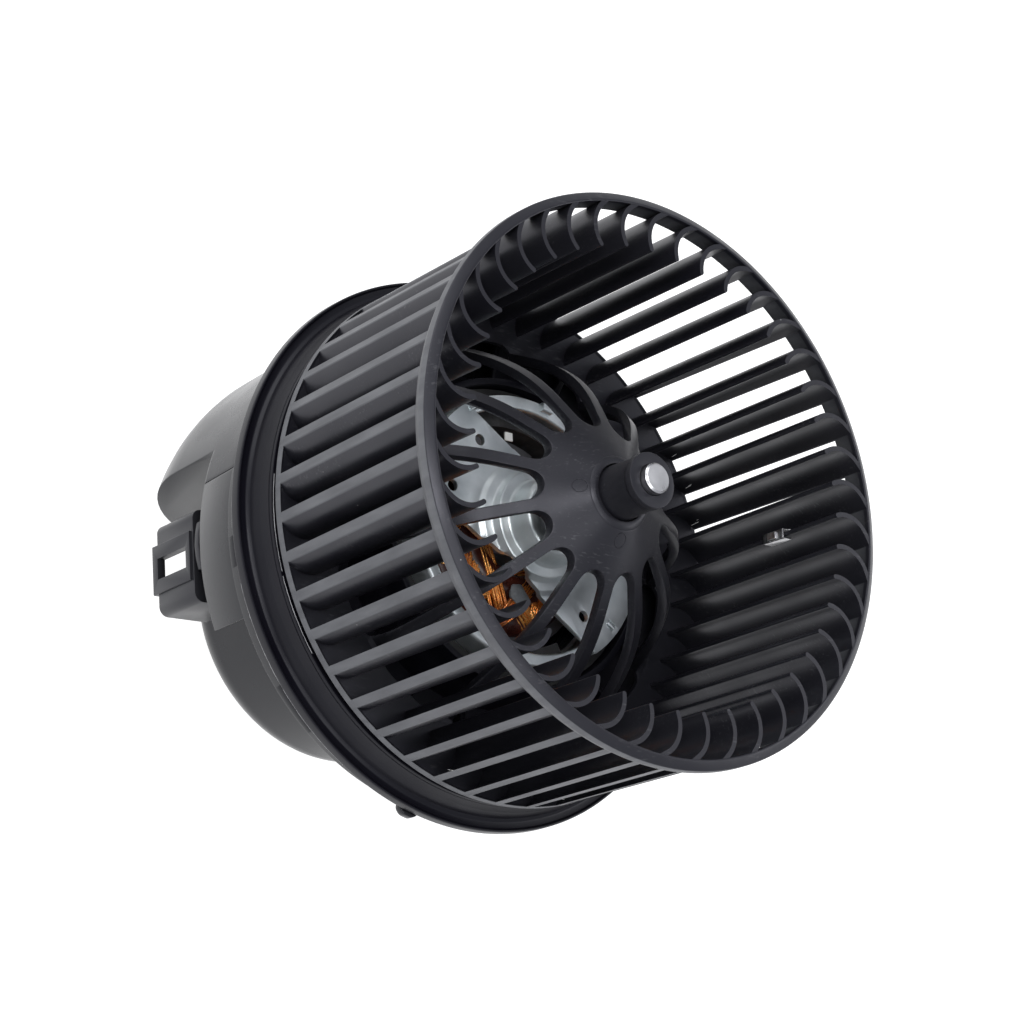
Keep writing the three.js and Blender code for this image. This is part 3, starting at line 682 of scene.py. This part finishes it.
def spoke_slot():
    """Outline of one slot: a round end near the boss, and a wide foot with two round corners."""
    half_pitch = 180 / SPOKE_COUNT
    sine = math.sin(math.radians(half_pitch))
    centre = (SLOT_INNER_R - SPOKE_HALF_WIDTH) / (1 - sine)
    corner_d = HUB_RIM_R - SLOT_CORNER_R
    corner_angle = half_pitch - math.degrees(math.asin((SLOT_CORNER_R + SPOKE_HALF_WIDTH) / corner_d))
    cx = corner_d * math.cos(math.radians(corner_angle))
    cy = corner_d * math.sin(math.radians(corner_angle))
    return (arc(centre, 0, centre * sine - SPOKE_HALF_WIDTH, 90 + half_pitch, 270 - half_pitch, 14)
            + arc(cx, -cy, SLOT_CORNER_R, -90 - half_pitch, -corner_angle, 8)
            + arc(cx, cy, SLOT_CORNER_R, corner_angle, 90 + half_pitch, 8))


def hub():
    """The spoked cone between boss and back plate, cut out of one turned shape."""
    radii = [HUB_TOP_R + i * (HUB_FOOT_R - HUB_TOP_R) / 30 for i in range(31)]
    top = [(r, hub_height(r)) for r in radii]
    under = [under_hub(r, HUB_THICKNESS) for r in reversed(radii[8:])]
    outline = (top + [(HUB_RIM_R + 1.5, BACK_PLATE_TOP), (HUB_RIM_R + 1.5, BACK_PLATE_BOTTOM)]
               + under + [(HUB_TOP_R - 1, HUB_TOP_Z - 9)])
    cone = lathe("hub", [(HUB_TOP_R - 1, HUB_TOP_Z)] + outline, 26 * SPOKE_COUNT)
    slot = spoke_slot()
    cutters = []
    for i in range(SPOKE_COUNT):
        cutter = prism("cutter", slot, BACK_PLATE_BOTTOM - 3, HUB_TOP_Z + 2)
        cutters.append(turn(cutter, SPOKE_ANGLE + (i + 0.5) * 360 / SPOKE_COUNT))
    combine(cone, join("cutters", cutters), "DIFFERENCE")
    soften(cone, 0.35, 2, 40)
    return cone


def boss():
    """Sleeve on the shaft, flared at its top, in a groove of the cone."""
    bore = SHAFT_R + 0.35
    mouth = SHAFT_R + 0.1             # the bore closes in round the end of the shaft
    outline = rounded([
        (bore, BOSS_TOP - 3), (mouth, BOSS_TOP - 3), (mouth, BOSS_TOP), (BOSS_R + 0.1, BOSS_TOP),
        (BOSS_R + 0.15, BOSS_TOP - 2.2), (BOSS_R - 0.2, BOSS_TOP - 2.6), (BOSS_R + 0.1, HUB_TOP_Z - 2.6),
        (HUB_TOP_R, HUB_TOP_Z - 2.6), (HUB_TOP_R, HUB_TOP_Z + 0.05), (HUB_TOP_R + 1.2, HUB_TOP_Z - 0.72),
        (HUB_TOP_R + 0.5, HUB_TOP_Z - 14), (bore, HUB_TOP_Z - 14),
    ], 0.22)
    return lathe("boss", outline, 96)


def gate_marks():
    """Two shallow moulding circles on the cone."""
    marks = []
    radius = 0.0017
    for degrees in (266.5, 1.5):
        circle = []
        centre = point(12.2, degrees, 0)
        for i in range(24):
            a = 2 * math.pi * i / 24
            x = centre.x + radius * math.cos(a)
            y = centre.y + radius * math.sin(a)
            circle.append(Vector((x, y, hub_height(1000 * math.hypot(x, y)) / 1000)))
        marks.append(circle)
    return wire("gate_marks", marks, 0.12, closed=True, sides=6)


def clip():
    """Spring-steel balance clip pushed over the inner edge of one blade."""
    half = BLADE_THICKNESS / 2 + 0.25
    thick = 0.5
    outline = [
        (59.9, -half - thick), (63.2, -half - thick), (63.2, -half), (60.6, -half),
        (60.6, half), (63.2, half + 0.3), (63.2, half + thick + 0.3), (59.9, half + thick),
    ]
    body = soften(prism("balance_clip_fine", rounded(outline, 0.3, 2), 124.2, 131.8), 0.12)
    barb = block("barb", 59.2, 60.2, -0.9, 0.9, 126.6, 129.4)
    degrees = BLADE_TIP_ANGLE + BALANCE_CLIP_BLADE * 360 / BLADE_COUNT
    return turn(join("balance_clip_fine", [body, barb]), degrees)


def flash_glints():
    """Thin near-white slivers where blades meet the back plate: moulding flash coloured as painted glints."""
    pieces = []
    for i in range(BLADE_COUNT):
        if random.random() < 0.5:
            continue
        degrees = BLADE_TIP_ANGLE - BLADE_ROOT_LAG + i * 360 / BLADE_COUNT
        for _ in range(2):
            z = BACK_PLATE_TOP + random.uniform(0.8, 4.5)
            r = random.uniform(69.5, 71.6)
            a = degrees + random.uniform(0.8, 1.6)
            pieces.append([point(r, a, z), point(r + 0.5, a + 0.25, z + random.uniform(1.2, 3.0))])
    return wire("painted_flash_glints", pieces, 0.09, sides=5)


# ---- motor ----
def shaft():
    outline = [(0.4, 12.1), (3.4, 12.1), (SHAFT_R, 12.7)]
    outline += [(SHAFT_R, SHAFT_TOP - 0.5), (SHAFT_R - 0.5, SHAFT_TOP), (0.02, SHAFT_TOP), (0.02, 12.1)]
    return lathe("shaft_fine", outline, 72, smooth_below=28)


def end_plate():
    """Pressed bridge plate: a flat strip across the can with a stepped dome for the bearing."""
    top = [
        (5.2, 110.0), (5.6, 110.5), (7.5, 110.6), (9.9, 110.2), (10.6, 109.6), (10.9, 108.4), (11.6, 105.4),
        (12.0, 104.2), (12.5, 103.8), (14.2, 103.5), (14.7, 103.2), (15.2, 101.2), (15.6, 100.8),
        (17.2, 100.5), (17.7, 100.2), (18.3, 99.3), (18.8, 99.1), (21.6, 99.0), (22.0, PLATE_TOP),
        (31, PLATE_TOP), (38.6, PLATE_TOP),
    ]
    under = [(r, z - SHEET) for r, z in reversed(top)]
    sheet = lathe("end_plate_fine", top + under, 144)
    w, waist = PLATE_HALF_WIDTH, PLATE_WAIST
    end = math.degrees(math.asin(w / PLATE_END_R))
    outline = arc(0, 0, PLATE_END_R, -end, end - 4, 16)
    outline += [(35.2, 12.0), (34.2, 12.6), (33.4, w)]
    outline += rounded([(14.5, w), (12.6, waist), (-12.6, waist), (-14.5, w)], 1.2)
    outline += arc(0, 0, PLATE_END_R, 180 - end, 180 + end - 4, 16)
    outline += [(-35.0, -12.0), (-34.0, -12.6), (-33.2, -w)]
    outline += [(-14.5, -w), (14.5, -w)]
    combine(sheet, prism("trim", outline, 90, 120), "INTERSECT")
    a = math.radians(PLATE_HOLE_ANGLE)
    hole_x, hole_y = PLATE_HOLE_R * math.cos(a), PLATE_HOLE_R * math.sin(a)
    cutters = []
    for sx in (-1, 1):
        for sy in (-1, 1):
            cutters.append(prism("hole", arc(sx * hole_x, sy * hole_y, 1.6, 0, 345, 23), 90, 105))
    cutters.append(block("lance", 33.2, 35.6, -5.6, -3.2, 90, 105))
    combine(sheet, join("cutters", cutters), "DIFFERENCE")
    soften(sheet, 0.22, 2, 40)
    bridge = soften(block("bridge", 33.0, 35.8, -4.8, -4.0, PLATE_TOP - 0.6, PLATE_TOP + 0.5), 0.2)
    return turn(join("end_plate_fine", [sheet, bridge]), PLATE_ANGLE)


def can():
    """Deep-drawn can with a rear bearing pocket and irregular staking tabs round its rim."""
    outline = rounded([
        (CAN_R - 3, 20.2), (CAN_R, 23), (CAN_R, CAN_TOP - 0.4), (CAN_R - 0.5, CAN_TOP + 0.2),
        (34.0, CAN_TOP + 0.2), (33.6, CAN_TOP - 0.4), (33.6, CAN_TOP - 1.2),
        (CAN_R - 1.7, CAN_TOP - 1.6), (CAN_R - 1.7, 24), (CAN_R - 4, 22),
        (8.3, 22), (8.3, 13), (5.6, 13), (5.6, 11.2), (10, 11.2), (10, 20.2),
    ], 0.4)
    shell = lathe("can_fine", outline, 160)
    tabs = []
    for degrees in (29, 31.5, 81, 122, 135, 166, 209, 211.5, 259, 345):
        step = PLATE_TOP - 0.3 + 0.5 * math.sin(degrees)    # uneven from tab to tab
        tab = rounded([(35.0, CAN_TOP - 1.5), (34.7, step - 0.4), (35.2, step + 0.3), (CAN_R - 0.5, step),
                       (CAN_R - 0.1, step - 0.6), (CAN_R - 0.1, CAN_TOP - 1.5)], 0.3)
        tabs.append(lathe("tab", tab, 6, degrees - 2.6, degrees + 2.6))
    return join("can_fine", [shell] + tabs)


def winding():
    """Coil heads of the armature: flat bundles of enamelled wire, each straight from slot to slot."""
    paths = []
    for coil in range(CORE_SLOTS):
        start = (coil + 0.5) * 360 / CORE_SLOTS
        for strand in range(COIL_LAYERS * STRANDS_PER_LAYER):
            row, layer = strand % STRANDS_PER_LAYER, strand // STRANDS_PER_LAYER
            inset = 4.6 - (row + layer % 2 / 2) * 1.75 + random.uniform(-0.3, 0.3)
            skew = random.uniform(-0.8, 0.8) + layer * 1.2
            radius = COIL_R - layer * 0.5
            near = point(radius, start + inset, 0)
            far = point(radius, start + COIL_SPAN - inset + skew, 0)
            top = 88.2 + (coil % 4) * 0.9 + layer * 0.6 + random.uniform(-0.12, 0.12)
            path = []
            for t, z in ((0, 84.4), (0.03, 87.0), (0.09, top - 0.5), (0.2, top), (0.5, top + 0.2),
                         (0.8, top), (0.91, top - 0.5), (0.97, 87.0), (1, 84.4)):
                path.append(near.lerp(far, t) + Vector((0, 0, z / 1000)))
            paths.append(path)
    return wire("winding_strands", paths, 0.33, sides=8)


def resin_body():
    """Resin-soaked mass of the winding, under the strands that show."""
    outline = rounded([(11.2, 37.2), (25.5, 37.6), (27, 42), (26.4, 45.7), (26.4, 85.4), (24.6, 87.6),
                       (19.4, 88.6), (16.4, 91.9), (13, 92.6), (11.2, 92.2)], 1.2)
    return lathe("winding_body", outline, 96)


def core():
    """Toothed armature core with narrow slot mouths."""
    pitch = 360 / CORE_SLOTS
    outline = []
    for i in range(CORE_SLOTS):
        middle = i * pitch
        outline += arc(0, 0, CORE_R, middle - 12.4, middle + 12.4, 8)
        for radius, offset in ((28.4, 12.9), (27.0, 15), (28.4, 17.1)):
            outline.append(tuple(1000 * c for c in point(radius, middle + offset, 0)[:2]))
    return turn(prism("core_fine", outline, 46.1, 84.9), pitch / 2)


def bearing():
    """Front bearing, under the dome of the end plate."""
    outline = rounded([(4.25, 101.3), (7.4, 101.3), (7.9, 103), (7.9, 106), (5.9, 109.2), (4.25, 109.2)], 0.3)
    return lathe("front_bearing_fine", outline, 72)


def putty():
    """Lump of balancing putty on a coil head."""
    bm = bmesh.new()
    bmesh.ops.create_icosphere(bm, subdivisions=4, radius=1)
    for v in bm.verts:
        wobble = 1 + 0.12 * math.sin(5 * v.co.x + 1) * math.cos(4 * v.co.y) + 0.06 * math.sin(9 * v.co.z)
        v.co = Vector((v.co.x * 3.4, v.co.y * 2.6, v.co.z * 1.3)) * wobble / 1000
    mesh = bpy.data.meshes.new("putty")
    bm.to_mesh(mesh)
    bm.free()
    obj = place_mesh("putty", mesh)
    shade(obj, 80)
    place = point(17.2, 358, 92.4)
    return shift(turn(obj, 40), 1000 * place.x, 1000 * place.y, 1000 * place.z)


def highlight_slip():
    """Near-white slip that shows under the end of the bridge plate: a painted highlight, made as a slip of
    insulating paper.
    """
    return turn(soften(block("highlight_slip", 26.7, 29.1, -1.3, 1.3, 90.4, 91.0), 0.12), 178.5)


# ---- flange and housing ----
def flange():
    """Flange in one turning: lip, flared wall, flat rim, floor and the tube round the motor."""
    outline = rounded([
        (LIP_R - 0.6, LIP_Z), (LIP_R + 0.15, LIP_Z - 0.1), (LIP_R + 0.35, LIP_Z - 1.0),
        (LIP_R + 0.15, LIP_Z - 1.4), (71.9, LIP_Z - 4.2), (72.6, 75.2), (73.0, 74.1),
        (73.9, RIM_TOP - 0.5), (75.6, RIM_TOP - 0.5), (75.9, RIM_TOP), (RIM_R - 0.15, RIM_TOP - 0.05),
        (RIM_R, RIM_TOP - 0.5), (RIM_R, RIM_BOTTOM + 0.35), (RIM_R - 0.3, RIM_BOTTOM),
        (SKIRT_R + 0.8, RIM_BOTTOM), (SKIRT_R - 1.4, 72.1), (43.4, 72.1), (43.4, 64.3), (41.5, 64.3),
        (41.5, 93), (43.3, 93), (43.6, 74), (LIP_R - 1.6, 74), (LIP_R - 1.3, LIP_Z),
    ], 0.22, 2)
    body = lathe("flange_fine", outline, 240)
    slot = lathe("air_slot", [(50, 66), (64, 66), (64, 78), (50, 78)], 30, DUCT_START + 18, DUCT_END - 22)
    return combine(body, slot, "DIFFERENCE")


def flange_edge_highlights():
    """Fine bright lines along the rear edge of the rim and along the lip: painted highlights where these
    glossy edges catch the light.
    """
    lines = []
    steps = 24
    for radius, z, start, end in ((76.35, 70.72, 283, 303), (76.35, 70.72, 305, 324),
                                  (70.6, 81.0, 262, 283), (70.7, 81.0, 284, 301)):
        lines.append([point(radius + random.uniform(-0.04, 0.04), start + (end - start) * i / steps, z)
                      for i in range(steps + 1)])
    return wire("flange_edge_highlights", lines, 0.11, sides=6)


def flange_ribs():
    """Low stiffening ribs on the floor inside the flange."""
    ribs = []
    for i in range(18):
        degrees = i * 20 + 8
        if DUCT_START + 10 < degrees < DUCT_END - 15:
            continue
        ribs.append(turn(block("rib", 43.2, 69.2, -0.8, 0.8, 73.6, 77.5), degrees))
    return join("flange_ribs", [soften(rib, 0.25) for rib in ribs])


def motor_cup():
    """Closed cup round the motor, with the shelf that joins it to the skirt."""
    corner = arc(CUP_R - CUP_CORNER_R, CUP_CORNER_R, CUP_CORNER_R, 0, -90, 12)
    inside = arc(CUP_R - CUP_CORNER_R, CUP_CORNER_R, CUP_CORNER_R - CUP_FLOOR, -90, 0, 8)
    outline = ([(SKIRT_R - 1.8, 61.9), (CUP_R + 0.6, 61.9), (CUP_R, 61.2)] + corner
               + [(0.02, 0), (0.02, CUP_FLOOR)] + inside + [(CUP_R - CUP_FLOOR, 64), (SKIRT_R - 1.8, 64)])
    return lathe("motor_cup", outline, 144, smooth_below=30)


def wall_r(z):
    """Outer radius of the wall round the connector and of the duct: they taper together."""
    rise = (max(z, DUCT_BEND_Z) - DUCT_BEND_Z) / (HOUSING_TOP - DUCT_BEND_Z)
    return DUCT_R + 2.4 * rise ** 1.3


def duct_profile(inset=0.0):
    """Outer wall of the duct: upright, then rounding in towards the floor."""
    points = [(wall_r(z) - inset, z) for z in (HOUSING_TOP, 58, 46, 36, DUCT_BEND_Z)]
    across = DUCT_R - DUCT_FOOT_R - inset
    down = DUCT_BEND_Z - DUCT_BOTTOM - inset
    for i in range(1, 13):
        a = math.radians(90 * i / 12)
        points.append((DUCT_FOOT_R + across * math.cos(a), DUCT_BEND_Z - down * math.sin(a)))
    return points


def lock_cutter(start, end):
    """Cutter for a locking slot right through the wall."""
    outline = [(SKIRT_R - 2.6, LOCK_BOTTOM), (78, LOCK_BOTTOM), (78, LOCK_TOP), (SKIRT_R - 2.6, LOCK_TOP)]
    return lathe("lock", outline, 12, start, end)


def skirt():
    """Short wall under the rim, with a slightly turned-in rear edge."""
    outline = rounded([(SKIRT_R + 0.6, HOUSING_TOP), (SKIRT_R + 0.1, SKIRT_BOTTOM + 0.2),
                       (SKIRT_R - 0.4, SKIRT_BOTTOM), (SKIRT_R - 2, SKIRT_BOTTOM),
                       (SKIRT_R - 1.7, HOUSING_TOP)], 0.25)
    wall = lathe("skirt", outline, 190, ARC_WALL_START, 360 + DUCT_START - 0.6)
    cutters = [lock_cutter(start, end) for start, end in LOCK_SLOTS]
    return combine(wall, join("locks", cutters), "DIFFERENCE")


def arc_wall():
    """Wall that hangs down round the connector."""
    bottom = ARC_WALL_BOTTOM
    outline = duct_profile()[:2] + [(wall_r(bottom), bottom), (wall_r(bottom) - WALL, bottom),
                                    (SKIRT_R - 1.8, HOUSING_TOP)]
    wall = lathe("arc_wall", outline, 60, ARC_WALL_START - 0.2, ARC_WALL_END)
    combine(wall, lock_cutter(*LOCK_SLOTS[0]), "DIFFERENCE")
    return soften(wall, 0.14, 2, 45)


def lock_strip():
    """Thin raised strip that leads into the first locking slot."""
    outline = rounded([(SKIRT_R - 0.2, 68.6), (SKIRT_R + 2.5, 68.4), (SKIRT_R + 2.3, 64.9),
                       (SKIRT_R - 0.4, 64.6)], 0.3)
    return soften(lathe("lock_strip", outline, 30, 257, 270.8), 0.2, 2, 50)


def lugs():
    """Small rounded lugs under the rim of the flange."""
    pieces = []
    for degrees in LUG_ANGLES:
        plan = rounded([(69.6, -3.2), (76.2, -3.0), (77.4, -1.4), (77.4, 1.4), (76.2, 3.0), (69.6, 3.2)], 0.8)
        pieces.append(turn(soften(prism("lug", plan, 68.0, 70.2), 0.3, 2, 45), degrees))
    return join("lugs", pieces)


def duct():
    """Scoop that brings cooling air from the flange to the back of the motor."""
    outline = duct_profile() + [(DUCT_INNER_R, DUCT_BOTTOM), (DUCT_INNER_R, HOUSING_TOP)]
    shell = lathe("duct_fine", outline, 120, DUCT_START, DUCT_SEAM + 0.25, 30)
    hollow_outline = duct_profile(WALL)
    hollow_outline[0] = (hollow_outline[0][0], 75)
    hollow = lathe("hollow", hollow_outline + [(43, DUCT_BOTTOM + WALL), (43, 75)], 100,
                   DUCT_START + 2, DUCT_END - 2.2)
    combine(shell, hollow, "DIFFERENCE")
    # Past the scoop only the outer wall runs on, to the seam beside the connector.
    edge_r = wall_r(ARC_WALL_BOTTOM)
    beyond = [(40, -2), (80, -2), (80, ARC_WALL_BOTTOM), (edge_r - WALL, ARC_WALL_BOTTOM),
              (SKIRT_R - 1.6, HOUSING_TOP), (SKIRT_R - 1.6, 75), (40, 75)]
    combine(shell, lathe("beyond", beyond, 14, DUCT_END, DUCT_SEAM + 2), "DIFFERENCE")
    return soften(shell, 0.35, 2, 50)


def connector():
    """Two-way plug housing with a raised latch panel and a window in it."""
    w, top, mouth = CONNECTOR_HALF_WIDTH, CONNECTOR_TOP, CONNECTOR_MOUTH_Z
    front, back = CONNECTOR_FACE_Y, CONNECTOR_FACE_Y + CONNECTOR_DEPTH
    corner_r = 2.6
    outline = [(-w, back)]
    outline += arc(-w + corner_r, front + corner_r, corner_r, 180, 270, 8)
    outline += arc(w - corner_r, front + corner_r, corner_r, 270, 360, 8)
    outline += [(w, back)]
    body = prism("connector_fine", outline, mouth, top - 2.2)
    plan = rounded([(-6.8, front + 1), (-6.8, front - 0.8), (6.8, front - 0.8), (6.8, front + 1)], 0.3)
    panel = prism("panel", plan, mouth - 1.4, top - 3.0)
    combine(body, panel, "UNION")
    combine(body, block("socket", -11.15, 11.15, front + 1.6, back - 1.6, mouth - 3, top - 3.8), "DIFFERENCE")
    combine(body, block("window", -2.9, 2.9, front - 3, front + 3, mouth + 1.0, mouth + 14.6), "DIFFERENCE")
    soften(body, 0.22, 2, 40)
    neck = soften(block("neck", -9.8, 9.8, front + 4.4, back - 1, top - 2.6, 62), 0.5)
    collar = soften(block("collar", -11.6, 11.6, front + 4.2, back - 0.4, top + 2.6, top + 4.4), 0.4)
    bow = [(-8.6, front + 0.3), (-5.2, front - 0.4), (-2, front - 0.65), (1.2, front - 0.4),
           (4.6, front + 0.3)]
    bow += [(x, y + 1.6) for x, y in reversed(bow)]
    tab = soften(prism("tab", bow, top - 0.9, top + 1.1), 0.25)
    foot = block("foot", -6.0, 3.0, front + 1.2, front + 5, top - 0.4, top + 0.8)
    return join("connector_fine", [body, neck, collar, tab, foot])


# ---- assembly ----
def build_wheel():
    parts = [blades(), inlet_ring(), back_plate(), hub(), boss()]
    for part in parts:
        finish_piece(part, "rotor", "wheel_plastic", ["fan_wheel"])
    finish_piece(gate_marks(), "rotor", "wheel_plastic")
    # the flash slivers are near-white as painted glints
    finish_piece(flash_glints(), "rotor", "wheel_plastic", material=GLINT_WHITE)
    finish_piece(clip(), "rotor", "spring_steel", ["balance_clip"])


def build_motor():
    finish_piece(shaft(), "rotor", "ground_steel", ["motor_shaft"])
    finish_piece(end_plate(), "stator", "zinc_plated_steel", ["front_end_plate"])
    finish_piece(can(), "stator", "zinc_plated_steel", ["motor_can"])
    finish_piece(winding(), "rotor", "enamelled_copper", ["armature_winding"])
    finish_piece(resin_body(), "rotor", "enamelled_copper", ["armature_winding"], RESIN)
    finish_piece(core(), "rotor", "lamination_steel", ["armature_core"])
    finish_piece(bearing(), "stator", "sintered_bronze", ["front_bearing"])
    finish_piece(putty(), "rotor", "enamelled_copper", material=PUTTY)
    # near-white slip as a painted highlight
    finish_piece(highlight_slip(), "stator", "ferrite", material=GLINT_WHITE)


def build_housing():
    finish_piece(flange(), "stator", "flange_plastic", ["mounting_flange"])
    finish_piece(flange_ribs(), "stator", "flange_plastic")
    # pale lines as painted highlights on the flange edges
    finish_piece(flange_edge_highlights(), "stator", "flange_plastic", material=EDGE_HIGHLIGHT)
    for part in (motor_cup(), skirt(), arc_wall(), lock_strip(), lugs()):
        finish_piece(part, "stator", "housing_plastic", ["motor_housing"])
    finish_piece(duct(), "stator", "housing_plastic", ["cooling_duct_cover"])
    finish_piece(connector(), "stator", "connector_plastic", ["connector_shell"])


def finish_cad_nodes():
    """The sealed pieces keep their CAD shape and get the material of their slot."""
    for part in frame["record"]["subparts"]:
        node = frame["nodes"][part["node"]]
        node.data.materials.clear()
        node.data.materials.append(FINISH[part["material_slot"]])
        shade(node, 35)


# ---- studio ----
def studio():
    floor = new_object("floor", [(-6, -6, 0), (6, -6, 0), (6, 6, 0), (-6, 6, 0)], [(0, 1, 2, 3)])
    floor.data.materials.append(pale_floor("studio_paper"))
    world = bpy.data.worlds.new("studio")
    world.use_nodes = True
    background = world.node_tree.nodes["Background"]
    background.inputs["Color"].default_value = (0.91, 0.93, 1, 1)
    background.inputs["Strength"].default_value = 0.58
    bpy.context.scene.world = world
    bpy.context.scene.view_settings.view_transform = "Standard"


def area_light(name, location, target, size, energy):
    """A plain rectangular studio light aimed at a point, in metres and watts."""
    data = bpy.data.lights.new(name, "AREA")
    data.shape = "RECTANGLE"
    data.size, data.size_y = size
    data.energy = energy
    light = bpy.data.objects.new(name, data)
    light.location = location
    aim = Vector(target) - Vector(location)
    light.rotation_euler = aim.to_track_quat("-Z", "Y").to_euler()
    bpy.context.scene.collection.objects.link(light)


def lights():
    area_light("key", (0.9, -0.5, 1.3), (0, 0, 0.08), (0.9, 0.9), 7)
    area_light("top", (-0.06, -0.76, 1.14), (0, 0, 0.1), (0.24, 0.62), 6.5)
    area_light("fill", (-1.1, -0.7, 0.7), (0, 0, 0.08), (0.9, 0.9), 7)
    area_light("back", (0.1, 1.3, 0.9), (0, 0, 0.1), (1.2, 0.5), 5)


def camera():
    location = Vector((0.2206, -0.4955, 0.6753))
    target = Vector((-0.0094, 0.0061, 0.0838))
    roll = math.radians(67.65)
    data = bpy.data.cameras.new("camera")
    data.sensor_width = 36
    data.lens = 105.4
    data.clip_end = 50
    obj = bpy.data.objects.new("camera", data)
    level = (target - location).to_track_quat("-Z", "Y").to_matrix().to_4x4()
    obj.matrix_world = Matrix.Translation(location) @ level @ Matrix.Rotation(roll, 4, "Z")
    bpy.context.scene.collection.objects.link(obj)
    bpy.context.scene.camera = obj


finish_cad_nodes()
build_wheel()
build_motor()
build_housing()
studio()
lights()
camera()
